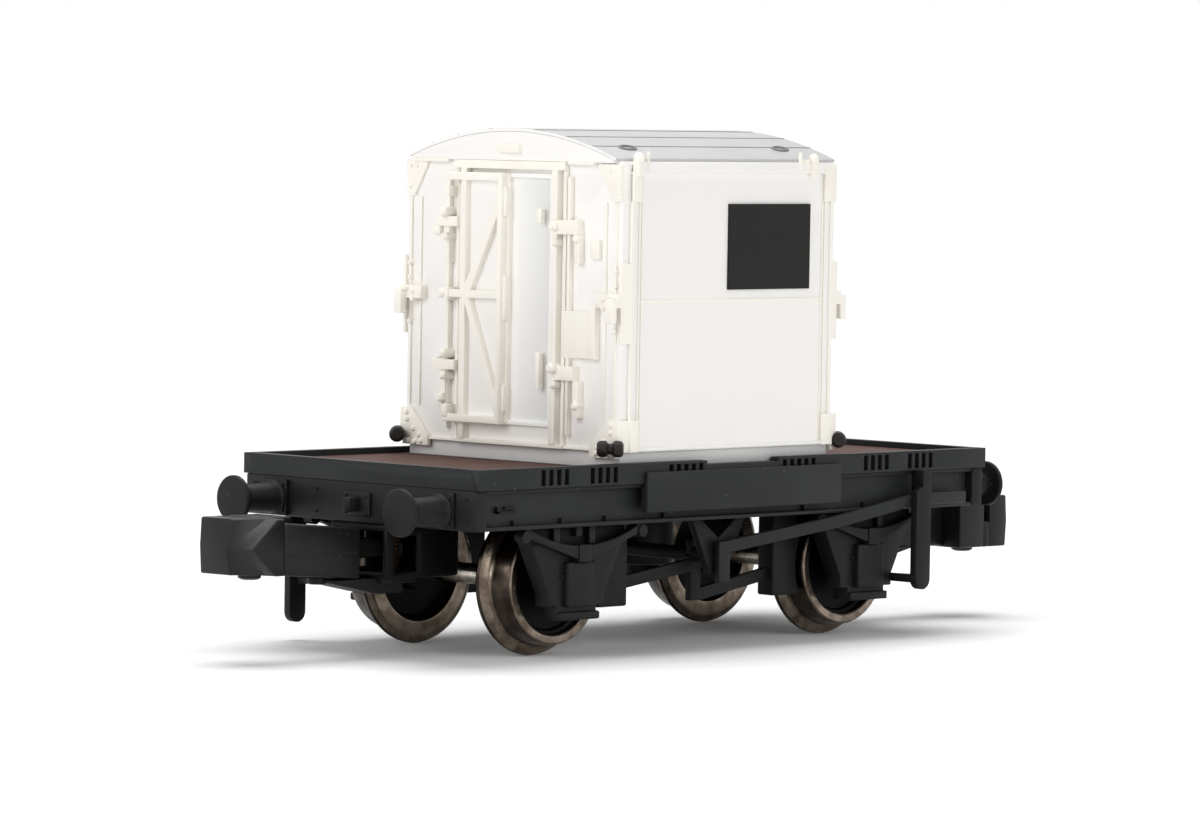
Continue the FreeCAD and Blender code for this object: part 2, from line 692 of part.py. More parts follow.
def make_brake_shaft():
    node(rod("shaft", "Y", D["shaft_radius"], (0, -lever_in, D["shaft_z"]), 2 * lever_in),
         "brake_shaft")


def make_brake_cylinder():
    """Upright cylinder hung under a cross beam."""
    low, high = D["cylinder_low"], D["sole_bottom"] + D["sole_flange"]
    node(rod("cylinder", "Z", D["cylinder_radius"], (D["cylinder_x"], D["cylinder_y"], low),
             high - low), "brake_cylinder")


def make_hanger(side, turned):
    outer = D["hanger_plane"]
    half, leg = D["hanger_half"], D["hanger_leg"]
    top, low = D["sole_bottom"], D["shaft_z"] - D["hanger_eye"]
    corners = ((-half, top), (-leg, low), (leg, low), (half, top), (half - leg, top),
               (0, D["shaft_z"] + D["hanger_eye"]), (-half + leg, top))
    solid = prism("hanger_plate_" + side, "XZ", corners, -outer, -outer + D["hanger_thick"])
    hole = rod("hanger_hole_" + side, "Y", D["shaft_radius"], (0, -outer - BEYOND, D["shaft_z"]),
               D["hanger_thick"] + 2 * BEYOND)
    node(cut("v_hanger_" + side, solid, hole), "v_hanger_" + side, turned)


def make_brake_blocks(side, turned):
    """Brake blocks and their hangers on the near side, hollowed to the wheel treads."""
    outer, inner = -D["shoe_plane"] - D["shoe_width"], -D["shoe_plane"]
    middle = (outer + inner) / 2
    z, tall = D["axle_height"], D["shoe_half"]
    half, hanger = D["shoe_thick"] / 2, D["shoe_hanger"] / 2
    pieces = []
    for sign in (-1, 1):
        x = sign * block_x
        tag = "%s_%d" % (side, sign + 1)
        back = x - sign * (half + D["shoe_back"])
        span = ordered(back, x + sign * (half + D["shoe_thick"]))
        block = box("block_" + tag, span, (outer, inner), (z - tall, z + tall))
        wheel = rod("block_wheel_" + tag, "Y", D["tread_radius"] + D["shoe_gap"],
                    (sign * D["wheelbase"] / 2, outer - BEYOND, z), D["shoe_width"] + 2 * BEYOND)
        pieces.append(cut("block_cut_" + tag, block, wheel))
        pieces.append(box("block_hanger_" + tag, ordered(back, x + sign * half),
                          (middle - hanger, middle + hanger),
                          (z, D["sole_bottom"] + D["sole_flange"])))
    node(fuse("brake_blocks_" + side, pieces), "brake_blocks_" + side, turned)


def make_rods(side, turned):
    """Push rods to both blocks of the near side, and the crank that moves them."""
    middle = -D["shoe_plane"] - D["shoe_width"] / 2
    low, high = middle - D["rod_thick"] / 2, middle + D["rod_thick"] / 2
    pin, deep = D["rod_pin_x"], D["rod_depth"]
    reach = block_x - D["shoe_thick"] / 2 - D["shoe_back"]
    lower = bar("rod_lower_" + side, (pin, D["rod_low_z"]), (reach, D["rod_end_z"]), deep, low, high)
    upper = bar("rod_upper_" + side, (-reach, D["rod_end_z"]), (-pin, D["rod_high_z"]), deep, low, high)
    crank = box("crank_" + side, (-pin, pin), (low, high),
                (D["rod_low_z"] - deep / 2, D["shaft_z"] + 2 * D["shaft_radius"]))
    hole = rod("crank_hole_" + side, "Y", D["shaft_radius"], (0, low - BEYOND, D["shaft_z"]),
               D["rod_thick"] + 2 * BEYOND)
    node(cut("brake_rods_" + side, fuse("rods_" + side, [lower, upper, crank]), hole),
         "brake_rods_" + side, turned)


def make_lever(side, turned):
    """Knuckle on the shaft, an arm that rises and cranks outwards, and a handle."""
    bend = D["wheelbase"] / 2 + D["lever_past_axle"]
    deep, thick = D["lever_deep"], D["lever_thick"]
    inner, outer = lever_in + thick, D["lever_out"] + thick
    start, end = (0, D["lever_start_z"]), (bend, D["lever_end_z"])
    rise = bar("lever_rise_" + side, start, end, deep, -outer, -lever_in)
    crank = D["lever_crank"]
    corners = ((0, -inner), (crank, -outer), (bend, -outer), (bend, -D["lever_out"]),
               (crank, -D["lever_out"]), (0, -lever_in))
    plan = prism("lever_plan_" + side, "XY", corners, D["lever_start_z"] - deep,
                 D["lever_end_z"] + deep)
    arm = doc.addObject("Part::Common", "lever_arm_" + side)
    arm.Base, arm.Tool = rise, plan
    handle = box("lever_handle_" + side, (bend, bend + D["handle_length"]),
                 (-outer, -D["lever_out"]),
                 (D["lever_end_z"] - deep / 2, D["lever_end_z"] + deep / 2))
    half = D["knuckle_half"]
    knuckle = box("lever_knuckle_" + side, (-half, half), (-inner, -lever_in),
                  (D["shaft_z"] - D["knuckle_drop"], D["lever_start_z"] + deep / 2))
    node(fuse("brake_lever_" + side, [arm, handle, knuckle]), "brake_lever_" + side, turned)


GUARD_POSTS = (
    # side, swung half round, middle of the post past the axle, its bottom
    ("near", False, 2.44, 2.45),
    ("far", True, 3.9, 0.9),
)


def make_lever_guard(side, turned, past, low):
    """Round-ended post that holds the lever's end, with the stay to the axleguard."""
    x = D["wheelbase"] / 2 + past
    half, neck = D["post_width"] / 2, D["post_neck"]
    inner = D["lever_out"] + D["lever_thick"]
    outer = inner + D["post_thick"]
    shoulder = D["lever_end_z"] + D["lever_deep"] / 2 + D["post_gap"]
    end = low + half
    corners = ((x - half, end), (x + half, end), (x + half, rail_low),
               (x + half - neck, rail_low), (x + half - neck, shoulder + half - neck / 2),
               (x - half, shoulder))
    post = prism("post_" + side, "XZ", corners, -outer, -inner)
    toe = rod("post_toe_" + side, "Y", half, (x, -outer, end), D["post_thick"])
    head = box("post_head_" + side, (x + half - neck, x + half), (-inner, -D["sole_face"]),
               (shoulder, rail_low))
    plate = D["sole_inner"] + D["guard_thick"]
    start = D["wheelbase"] / 2 + D["guard_low_half"]
    corners = ((start, -plate), (start, -D["sole_inner"]), (x, -inner), (x - half, -inner),
               (x - half, -outer))
    stay = prism("post_stay_" + side, "XY", corners, D["guard_stay_low"], D["guard_stay_high"])
    node(fuse("lever_guard_" + side, [post, toe, head, stay]), "lever_guard_" + side, turned)


# ---------------------------------------------------------------------------
# Buffers and couplers
# ---------------------------------------------------------------------------

def make_buffers(end, turned):
    pieces = []
    reach = D["buffer_length"]
    for sign in (-1, 1):
        y, z = sign * D["buffer_y"], D["buffer_z"]
        half = D["plate_size"] / 2
        tag = "%s_%d" % (end, sign + 1)
        plate = box("buffer_plate_" + tag, (-half_length - D["plate_thick"], -half_length),
                    (y - half, y + half), (z - half, z + half))
        barrel = taper("buffer_barrel_" + tag, "X", D["barrel_radius"], D["barrel_root"],
                       (-half_length - reach, y, z), reach)
        head = rod("buffer_head_" + tag, "X", D["buffer_radius"],
                   (-half_length - reach, y, z), D["buffer_head"])
        pieces.append(fuse("buffer_" + tag, [plate, barrel, head]))
    node(wrap("buffers_" + end, pieces), "buffers_" + end, turned)


def make_drawhook(end, turned):
    half = D["hook_half"]
    z = D["buffer_z"]
    plate = box("hook_plate_" + end, (-half_length - D["plate_thick"], -half_length),
                (-half, half), (z - D["hook_plate_half"], z + D["hook_plate_half"]))
    across, deep = D["hook_thick"] / 2, D["hook_deep"] / 2
    stub = box("hook_stub_" + end, (-half_length - D["hook_reach"], -half_length - D["plate_thick"]),
               (-across, across), (z - deep, z + deep))
    node(fuse("drawhook_" + end, [plate, stub]), "drawhook_" + end, turned)


def make_pocket(end, turned):
    front, back, half = D["pocket_front"], D["pocket_back"], D["pocket_half"]
    low, high, wall = D["pocket_low"], D["sole_bottom"], D["pocket_wall"]
    case = box("pocket_case_" + end, (-front, -back), (-half, half), (low, high))
    room = box("pocket_room_" + end, (-front - BEYOND, -back - wall), (-half + wall, half - wall),
               (low + wall, high - wall))
    window = box("pocket_window_" + end, (-D["window_front"], -D["window_back"]),
                 (-half - BEYOND, half + BEYOND), (D["window_low"], D["window_high"]))
    hollow = fuse("pocket_hollow_" + end, [room, window])
    node(cut("coupler_pocket_" + end, case, hollow), "coupler_pocket_" + end, turned)


COUPLERS = (
    # end, swung half round, head above the shank's middle, pulled out
    ("front", False, D["front_rise"], dim(0)),
    ("rear", True, D["rear_rise"], D["rear_pull"]),
)


def make_coupler(end, turned, rise, pull):
    """Wedge nose, slotted hook side, deep body that slopes to the shank, and the shank."""
    half, z = D["coupler_half"], D["coupler_z"]
    middle = z + rise
    low, high = middle - half, middle + half
    tip, heel, shoulder = (D[name] + pull for name in ("coupler_tip", "coupler_heel", "coupler_shoulder"))
    left, right, nose = D["coupler_left"], D["coupler_right"], D["coupler_nose"]
    bevel = D["coupler_bevel"]
    wedge = prism("coupler_wedge_" + end, "XZ",
                  ((-tip, middle), (-tip + bevel, low), (-heel, low), (-heel, high),
                   (-tip + bevel, high)), -right, nose)
    long = D["hook_bevel_long"]
    block = prism("coupler_block_" + end, "XZ",
                  ((-tip, low + D["hook_bevel_low"]), (-tip + long, low), (-shoulder, low),
                   (-shoulder, high), (-tip + long, high), (-tip, high - D["hook_bevel_deep"])),
                  nose, left)
    cut_x = -tip + D["coupler_slot_in"]
    slot = box("coupler_slot_" + end, (cut_x, cut_x + D["coupler_slot"]),
               (nose, left + BEYOND), (middle, high + BEYOND))
    hook = cut("coupler_hook_" + end, block, slot)
    web = box("coupler_web_" + end, (-heel, -shoulder), (0, nose), (low, high))
    wide, back, step = D["coupler_body"], D["coupler_back"], D["coupler_step"]
    body = prism("coupler_body_" + end, "XZ",
                 ((-heel, low), (-back, z - half), (-back, z + half - step), (-heel, high - step)),
                 -wide, wide)
    shank_half, thick = D["shank_half"], D["shank_deep"]
    shank = box("coupler_shank_" + end, (-heel, -D["pivot_x"]), (-shank_half, shank_half),
                (z - thick, z + thick))
    pivot = rod("coupler_pivot_" + end, "Y", thick, (-D["pivot_x"], -D["pivot_half"], z),
                2 * D["pivot_half"])
    node(fuse("coupler_" + end, [wedge, hook, web, body, shank, pivot]), "coupler_" + end, turned)


# ---------------------------------------------------------------------------
# Container
# ---------------------------------------------------------------------------

box_front = D["box_middle"] - D["box_length"] / 2
box_back = D["box_middle"] + D["box_length"] / 2
end_front = box_front - D["end_proud"]
end_back = box_back + D["back_proud"]
box_side = half_width - D["box_setback"]
end_half = box_side - D["corner_notch"]
wall_low = D["deck_top"] + D["base_height"]
roof_reach = box_side - D["roof_inset"]
roof_radius = (roof_reach * roof_reach + D["roof_rise"] * D["roof_rise"]) / (2 * D["roof_rise"])
roof_top = D["eaves"] + D["roof_rise"]


def on_deck(item, label):
    """Name a piece of the container and move it with the container off the middle line."""
    group = wrap("placed_" + label, item)
    place(group, 0, D["box_shift"], 0)
    node(group, label)


def roof_height(y):
    """Height of the roof's underside at a distance from its middle line."""
    return roof_top - roof_radius + root(roof_radius * roof_radius - y * y)


def make_base():
    """The base stands on the deck floor, between the deck rails."""
    inset = D["base_inset"]
    base = box("base", (end_front + inset, end_back - inset),
               (-box_side + inset, box_side - inset), (D["deck_top"], wall_low))
    on_deck(base, "container_base")


strip_low = D["eaves"] - D["eaves_strip"]
foot_top = wall_low + D["foot_height"]


def make_container_side(side, sign):
    """Plain wall with a moulding along its foot and another at the eaves."""
    outer = sign * box_side
    inner = sign * (box_side - D["box_wall"])
    wall = box("wall_" + side, (box_front, box_back), ordered(outer, inner),
               (wall_low, D["eaves"]))
    foot = box("foot_" + side, (box_front + D["post_narrow"], box_back - D["post_narrow"]),
               ordered(outer, sign * (box_side + D["foot_proud"])), (wall_low, foot_top))
    strip = box("eaves_" + side, (box_front, box_back),
                ordered(outer, sign * (box_side + D["eaves_proud"])), (strip_low, D["eaves"]))
    on_deck(fuse("wall_foot_" + side, [wall, foot, strip]), "container_side_" + side)


def make_container_end(name, sign, wall_face, end_face):
    """Wall between the side walls, the proud panel before it and the gable plate."""
    inner = box_side - D["box_wall"]
    low, eaves = wall_low, D["eaves"]
    arc = (roof_radius, (0, roof_top))
    plug = prism("end_plug_" + name, "YZ",
                 ((-inner, low), (inner, low), (inner, roof_height(inner), arc),
                  (-inner, roof_height(inner))),
                 *ordered(wall_face, wall_face - sign * D["box_wall"]))
    panel = prism("end_panel_" + name, "YZ",
                  ((-end_half, low), (end_half, low), (end_half, eaves),
                   (roof_reach, eaves, arc), (-roof_reach, eaves), (-end_half, eaves)),
                  *ordered(wall_face, end_face))
    half = box_side - D["gable_inset"]
    gable = prism("gable_" + name, "YZ",
                  ((-half, D["gable_low"]), (half, D["gable_low"]), (half, roof_height(half), arc),
                   (-half, roof_height(half))),
                  *ordered(end_face, end_face + sign * D["gable_proud"]))
    on_deck(fuse("end_" + name, [plug, panel, gable]), "container_end_" + name)


def make_roof():
    """A thin curved sheet over the walls and both gables."""
    edge, thick = D["eaves"], D["roof_thick"]
    corners = ((roof_reach, edge, (roof_radius, (0, roof_top))), (-roof_reach, edge),
               (-roof_reach, edge + thick, (roof_radius, (0, roof_top + thick))),
               (roof_reach, edge + thick))
    sheet = prism("roof", "YZ", corners, end_front - D["gable_proud"], end_back + D["gable_proud"])
    on_deck(sheet, "container_roof")


def end_box(name, across, upright, proud, behind=0):
    """A block on the door end's wall; across runs to the right as one faces the doors."""
    return box(name, (end_front - proud, end_front - behind),
               ordered(-dim(across[0]), -dim(across[1])), upright)


def make_left_door():
    """Panel with a raised frame, a middle rail, two diagonals and three hinge straps."""
    far, near = -D["door_half"], D["door_meet"]
    low, high, middle = D["door_low"], D["door_high"], D["door_mid"]
    panel, frame = D["door_proud"], D["door_proud"] + D["brace_proud"]
    rail, stile, wide = D["brace_rail"], D["brace_stile"], D["brace_width"]
    pieces = [
        end_box("leaf_panel", (far, near), (low, high), panel),
        end_box("leaf_stile_near", (near - stile, near), (low, high), frame, panel),
        end_box("leaf_stile_far", (far, far + stile), (low, high), frame, panel),
    ]
    for name, bottom in (("low", low), ("middle", middle - rail / 2), ("high", high - rail)):
        pieces.append(end_box("leaf_rail_" + name, (far - D["strap_reach"], near),
                              (bottom, bottom + rail), frame, panel))
    start = middle - wide / 2
    for name, end in (("lower", low + D["brace_low_gap"]),
                      ("upper", high - D["brace_top_gap"] - wide)):
        corners = ((-near + stile, end), (-far - stile, start), (-far - stile, start + wide),
                   (-near + stile, end + wide))
        pieces.append(prism("leaf_brace_" + name, "YZ", corners, end_front - frame,
                            end_front - panel))
    on_deck(fuse("leaf", pieces), "container_door_left")


def make_right_door():
    """Plain panel inside a low raised border."""
    low, high = D["door_low"], D["door_high"]
    near, far = D["door_meet"] + D["door_gap"], D["door_half"]
    edge = D["edge_width"]
    panel = D["door_shut_proud"]
    front = panel + D["edge_proud"]
    on_deck(fuse("shut_leaf", [
        end_box("shut_panel", (near, far), (low, high), panel),
        end_box("shut_edge_low", (near, far), (low, low + edge), front, panel),
        end_box("shut_edge_high", (near, far), (high - edge, high), front, panel),
        end_box("shut_edge_far", (far - edge, far), (low, high), front, panel),
    ]), "container_door_right")


# hasps, hold-back bars and plates beside the doors
END_IRONS = (
    # piece, across from, across to, bottom, top, beyond the end wall
    ("hasp_upper_left", -5, -3.4, 20.6, 21.1, 0.6),
    ("bar_upper_left", -4.55, -4.15, 18.8, 20.6, 0.4),
    ("hasp_lower_left", -5, -3.5, 13.5, 14.0, 0.6),
    ("bar_lower_left", -4.7, -4.3, 12.3, 13.5, 0.4),
    ("toe_lower_left", -5.1, -4.5, 11.7, 12.3, 0.4),
    ("hasp_upper_right", 3.4, 4.9, 20.4, 21.1, 0.5),
    ("bar_upper_right", 4.6, 4.95, 19.0, 20.4, 0.4),
    ("hasp_lower_right", 3.2, 4.7, 13.3, 14.0, 0.5),
    ("bar_lower_right", 4.6, 5, 11.5, 13.3, 0.4),
    ("ticket_plate", 3.7, 5.65, 14.4, 16.7, 0.3),
    ("ticket_clip", 5.65, 6.1, 14.4, 16.9, 0.4),
    ("small_plate", 5.55, 6.15, 19.25, 20.15, 0.25),
)


def make_door_frame():
    """Hinge posts, jambs, the bar over the doors, the sill and the irons beside them."""
    sill_top = wall_low + D["sill_height"]
    header = D["header_low"]
    post = D["door_half"] + D["hinge_gap"]
    jamb = post + D["hinge_width"] + D["jamb_gap"]
    edge = jamb + D["jamb_width"]
    foot = end_half - D["gusset_foot"]
    pieces = [
        end_box("header", (-edge, edge), (header, header + D["header_height"]),
                D["header_proud"]),
        end_box("sill", (-edge, edge), (wall_low, sill_top), D["sill_proud"]),
    ]
    for name, sign in (("left", -1), ("right", 1)):
        pieces.append(end_box("hinge_post_" + name, (sign * post, sign * (post + D["hinge_width"])),
                              (sill_top, header), D["hinge_proud"]))
        pieces.append(end_box("jamb_" + name, (sign * jamb, sign * edge),
                              (wall_low, header + D["header_height"]), D["jamb_proud"]))
        pieces.append(end_box("ledge_" + name, (sign * edge, sign * foot),
                              (wall_low, wall_low + D["ledge_height"]), D["ledge_proud"]))
    for name, start, end, low, high, proud in END_IRONS:
        pieces.append(end_box(name, (start, end), (low, high), proud))
    on_deck(fuse("door_frame_solid", pieces), "door_frame")


def make_label_panel():
    x, z = D["panel_x"], D["panel_low"]
    panel = box("label", (x, x + D["panel_length"]), (-box_side - D["panel_thick"], -box_side),
                (z, z + D["panel_height"]))
    on_deck(panel, "label_panel")


CORNERS = (
    # tag, along the wagon, across it
    ("front_near", -1, -1),
    ("front_far", -1, 1),
    ("rear_near", 1, -1),
    ("rear_far", 1, 1),
)


def make_corner_irons():
    """On each upright corner a post, a casting with its eye, a strap and a gusset."""
    pieces = []
    base = wall_low - D["gusset_drop"]
    thick, toe, tall = D["gusset_thick"], base + D["gusset_toe"], D["gusset_high"]
    post, proud = D["post_narrow"], D["post_proud"]
    casting, eye = D["casting_proud"], D["casting_proud"] + D["eye_out"]
    for tag, sign_x, sign_y in CORNERS:
        wall, end = (box_front, end_front) if sign_x < 0 else (box_back, end_back)
        side, rim = sign_y * box_side, sign_y * (box_side + proud)
        notch = sign_y * end_half

        def iron(name, x, y, low, high):
            pieces.append(box("%s_%s" % (name, tag), ordered(*x), ordered(*y), (low, high)))

        iron("post", (wall, wall - sign_x * post), (side, rim), wall_low, strip_low)
        iron("casting", (end, end + sign_x * casting), (rim, notch - sign_y * D["casting_reach"]),
             D["casting_z"], D["casting_z"] + D["casting_height"])
        iron("casting_root", (wall, end + sign_x * casting), (rim, notch),
             D["casting_z"], D["casting_z"] + D["casting_height"])
        iron("eye", (end + sign_x * casting, end + sign_x * eye), (rim, rim - sign_y * D["eye_wide"]),
             D["eye_low"], D["eye_high"])
        iron("strap", (wall, end + sign_x * D["strap_proud"]), (rim, notch),
             D["strap_low"], D["strap_high"])
        iron("gusset_root", (wall, end + sign_x * thick), (rim, notch), wall_low, tall)
        foot, head = (notch - sign_y * D[name] for name in ("gusset_foot", "gusset_head"))
        corners = ((notch, base), (foot, base), (foot, toe), (head, tall), (notch, tall))
        pieces.append(prism("gusset_" + tag, "YZ", corners, *ordered(end + sign_x * thick, end)))
    on_deck(fuse("irons", pieces), "corner_irons")


def make_shackles():
    """A round shackle set slantwise across each corner, on a short lug."""
    pieces = []
    radius, half, z = D["shackle_radius"], D["shackle_half"], D["shackle_z"]
    rise = D["lug_height"] / 2
    for tag, sign_x, sign_y in CORNERS:
        face = (end_front if sign_x < 0 else end_back) + sign_x * D["gusset_thick"]
        slant = half / root(dim(2))
        x, y = face + sign_x * D["shackle_out"], sign_y * end_half
        barrel = doc.addObject("Part::Cylinder", "shackle_" + tag)
        bind(barrel, Radius=radius, Height=2 * half)
        swing = FreeCAD.Rotation(FreeCAD.Vector(0, 0, 1), -45 * sign_x * sign_y)
        barrel.Placement.Rotation = swing.multiply(FreeCAD.Rotation(FreeCAD.Vector(0, 1, 0), 90))
        place(barrel, x - slant, y + sign_x * sign_y * slant, z)
        lug = box("lug_" + tag, ordered(face, x), (y - rise, y + rise), (z - rise, z + rise))
        trim = box("lug_trim_" + tag, ordered(face, face - sign_x * 2 * half),
                   (y - 2 * half, y + 2 * half), (z - 2 * half, z + 2 * half))
        pieces.append(cut("shackle_trimmed_" + tag, fuse("shackle_lug_" + tag, [barrel, lug]),
                          trim))
    on_deck(wrap("shackle_set", pieces), "shackles")


make_deck()
for side, turned in SIDES:
    make_side_rail(side, turned)
    make_solebar(side, turned)
    make_nameboard(side, turned)
    make_springs(side, turned)
    make_hanger(side, turned)
    make_brake_blocks(side, turned)
    make_rods(side, turned)
    make_lever(side, turned)
    make_axleguard("front_" + side, 1 if turned else -1, turned)
    make_axleguard("rear_" + side, -1 if turned else 1, turned)
for end, turned in ENDS:
    make_end_rail(end, turned)
    make_headstock(end, turned)
    make_buffers(end, turned)
    make_drawhook(end, turned)
    make_pocket(end, turned)
    make_wheelset(end, 1 if turned else -1)
for row in COUPLERS:
    make_coupler(*row)
for row in GUARD_POSTS:
    make_lever_guard(*row)
make_underframe()
make_weight()
make_brake_shaft()
make_brake_cylinder()
make_base()
make_container_side("near", -1)
make_container_side("far", 1)
make_container_end("front", -1, box_front, end_front)
make_container_end("rear", 1, box_back, end_back)
make_roof()
make_left_door()
make_right_door()
make_door_frame()
make_label_panel()
make_corner_irons()
make_shackles()

doc.recompute()

for item in doc.Objects:
    if "Invalid" in item.State or "Error" in item.State:
        raise RuntimeError("%s is %s" % (item.Label, item.State))
os.makedirs("parts", exist_ok=True)
for item in nodes:
    if item.Shape.isNull() or not item.Shape.isValid():
        raise RuntimeError("%s has no valid shape" % item.Label)
for item in nodes:
    item.Shape.exportStep("parts/%s.step" % item.Label)
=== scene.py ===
# %% [markdown]
# # A container flat wagon in N scale
#
# The real object is a ready-to-run model wagon, nearly 53 mm long: a moulded plastic
# frame on turned metal wheels, with a moulded insulated container clipped to
# its deck. The CAD model already has every part at its place, so this lesson
# starts from it as a fixed frame and dresses it: edges are softened as a
# mould leaves them, round parts are turned, small fittings are added, and
# each plastic and metal gets its own finish.

# %% Load the frame
import json
import math

import bmesh
import bpy
from mathutils import Matrix, Vector


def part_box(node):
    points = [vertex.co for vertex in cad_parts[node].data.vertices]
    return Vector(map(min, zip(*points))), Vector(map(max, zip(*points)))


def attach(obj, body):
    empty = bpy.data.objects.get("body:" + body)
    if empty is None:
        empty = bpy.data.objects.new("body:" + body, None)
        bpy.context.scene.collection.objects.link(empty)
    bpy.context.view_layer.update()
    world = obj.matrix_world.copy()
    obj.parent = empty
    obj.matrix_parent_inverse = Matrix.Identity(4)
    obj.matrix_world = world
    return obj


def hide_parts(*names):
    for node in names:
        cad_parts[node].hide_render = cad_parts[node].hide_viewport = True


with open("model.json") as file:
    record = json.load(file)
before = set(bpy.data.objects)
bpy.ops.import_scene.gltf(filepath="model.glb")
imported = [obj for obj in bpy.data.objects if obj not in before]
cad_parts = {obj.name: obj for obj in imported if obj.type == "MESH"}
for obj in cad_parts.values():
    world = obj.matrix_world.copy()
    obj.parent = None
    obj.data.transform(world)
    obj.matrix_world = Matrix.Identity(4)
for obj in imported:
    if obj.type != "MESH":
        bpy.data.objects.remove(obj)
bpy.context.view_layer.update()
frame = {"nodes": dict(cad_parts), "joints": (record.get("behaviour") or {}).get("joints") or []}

MM = 0.001
scene = bpy.context.scene
nodes = frame["nodes"]

# %% [markdown]
# ## Places from the CAD model
#
# Wheels, couplers, buffers and container already stand where they belong.
# Their places could be typed in again here, but a typed place stays behind when
# the CAD model changes. So the script asks for the box round a CAD part and for
# the pivot of a joint. The frame is in metres, stored to about seven figures,
# so both are turned to millimetres and rounded to a thousandth.

# %% Places from the frame
def reach(name, axis):
    """Where a CAD node starts and ends along x, y or z, in millimetres."""
    return [round(getattr(corner, axis) / MM, 3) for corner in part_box(name)]


def halfway(name, axis):
    """The middle of a CAD node along x, y or z, in millimetres."""
    return round(sum(reach(name, axis)) / 2, 3)


pivots = {joint["child"]: [round(c / MM, 3) for c in joint["pos_m"]] for joint in frame["joints"]}
print("pivots in mm:", pivots)

# %% [markdown]
# ## The view
#
# A long lens set well back keeps the wagon's long edges nearly parallel, so
# that the small model doesn't look like a full-size wagon seen from near by.
# The camera stands off one corner, three degrees above the deck, and is rolled
# by a little under one degree. Its matrix could be typed in, but its place is
# worked out from two angles, a distance and a small offset, so that each of
# them can be changed by itself.

# %% Camera
AZIMUTH, ELEVATION, ROLL = math.radians(-45.1168), math.radians(2.97114), math.radians(0.89385)
DISTANCE = 301.0316 * MM
LENS = 180.186
ASIDE, ABOVE = -1.17832 * MM, 1.27392 * MM
aim_from = Vector((0, 0, 10)) * MM
backwards = Vector((math.sin(AZIMUTH) * math.cos(ELEVATION),
                    -math.cos(AZIMUTH) * math.cos(ELEVATION), math.sin(ELEVATION)))
level_right = (-backwards).cross(Vector((0, 0, 1))).normalized()
level_up = level_right.cross(-backwards)
view_right = level_right * math.cos(ROLL) + level_up * math.sin(ROLL)
view_up = level_up * math.cos(ROLL) - level_right * math.sin(ROLL)
aim = aim_from + view_right * ASIDE + view_up * ABOVE
place = aim + backwards * DISTANCE
camera_data = bpy.data.cameras.new("view")
camera_data.lens = LENS
camera_data.clip_start = 0.01
camera = bpy.data.objects.new("view", camera_data)
scene.collection.objects.link(camera)
turned_axes = Matrix((view_right, view_up, backwards)).transposed().to_4x4()
camera.matrix_world = Matrix.Translation(place) @ turned_axes
scene.camera = camera
print("camera at", [round(c / MM, 1) for c in place])

# %% [markdown]
# ## Making materials
#
# A material is a small graph of nodes, which could be wired up by hand in the
# editor. In a script, one function that adds a node, sets its inputs and links
# others to it keeps each recipe down to a few readable lines. Another turns the
# colours, which are written as they look on a screen, to the linear values
# that Blender adds up light in.

# %% Helpers for materials
def colour(code):
    """A screen colour such as "2b3031" as linear red, green, blue, alpha."""
    parts = [int(code[i:i + 2], 16) / 255 for i in (0, 2, 4)]
    return [p / 12.92 if p <= 0.04045 else ((p + 0.055) / 1.055) ** 2.4 for p in parts] + [1.0]


def add(tree, kind, inputs=None, **settings):
    """Add a node; inputs may be plain values or another node's output socket."""
    made = tree.nodes.new(kind)
    for key, value in settings.items():
        setattr(made, key, value)
    for key, value in (inputs or {}).items():
        if isinstance(value, bpy.types.NodeSocket):
            tree.links.new(value, made.inputs[key])
        else:
            made.inputs[key].default_value = value
    return made


def new_material(name):
    """An empty material and its tree, with only the output in it."""
    made = bpy.data.materials.new(name)
    made.use_nodes = True
    made.node_tree.nodes.clear()
    return made, made.node_tree


def picked(mix):
    """The colour output of a Mix node, which has one output for each kind of value."""
    return [socket for socket in mix.outputs if socket.type == "RGBA"][0]


print("e6e6e6 as linear light:", [round(c, 3) for c in colour("e6e6e6")])

# %% [markdown]
# ## Floor and background
#
# The wagon stands on a sheet of white card in a white room. More light would
# make card and room white, but it would wash the model out too. So the card
# and the world show extra white to the camera, and to metal or gloss that
# mirrors them, and send no more light on the wagon: the Light Path node tells
# which kind of ray is asking. The card still takes the wagon's shadow.

# %% World and floor
def seen_rays(tree):
    """1 for rays from the camera or through gloss and glass, otherwise 0."""
    path = add(tree, "ShaderNodeLightPath")
    either = add(tree, "ShaderNodeMath", {0: path.outputs["Is Camera Ray"],
                                          1: path.outputs["Is Glossy Ray"]}, operation="MAXIMUM")
    return add(tree, "ShaderNodeMath", {0: either.outputs[0],
                                        1: path.outputs["Is Transmission Ray"]},
               operation="MAXIMUM").outputs[0]


AMBIENT = 0.22          # light that reaches the wagon from every side
CARD_GLOW = 0.04        # what the card lacks to be quite white
CARD_HALF = 0.32        # metres
world = bpy.data.worlds.new("soft_white")
world.use_nodes = True
sky = world.node_tree
sky.nodes.clear()
strength = add(sky, "ShaderNodeMapRange", {"Value": seen_rays(sky), "To Min": AMBIENT, "To Max": 1.0})
air = add(sky, "ShaderNodeBackground", {"Color": colour("ffffff"), "Strength": strength.outputs[0]})
add(sky, "ShaderNodeOutputWorld", {"Surface": air.outputs[0]})
scene.world = world

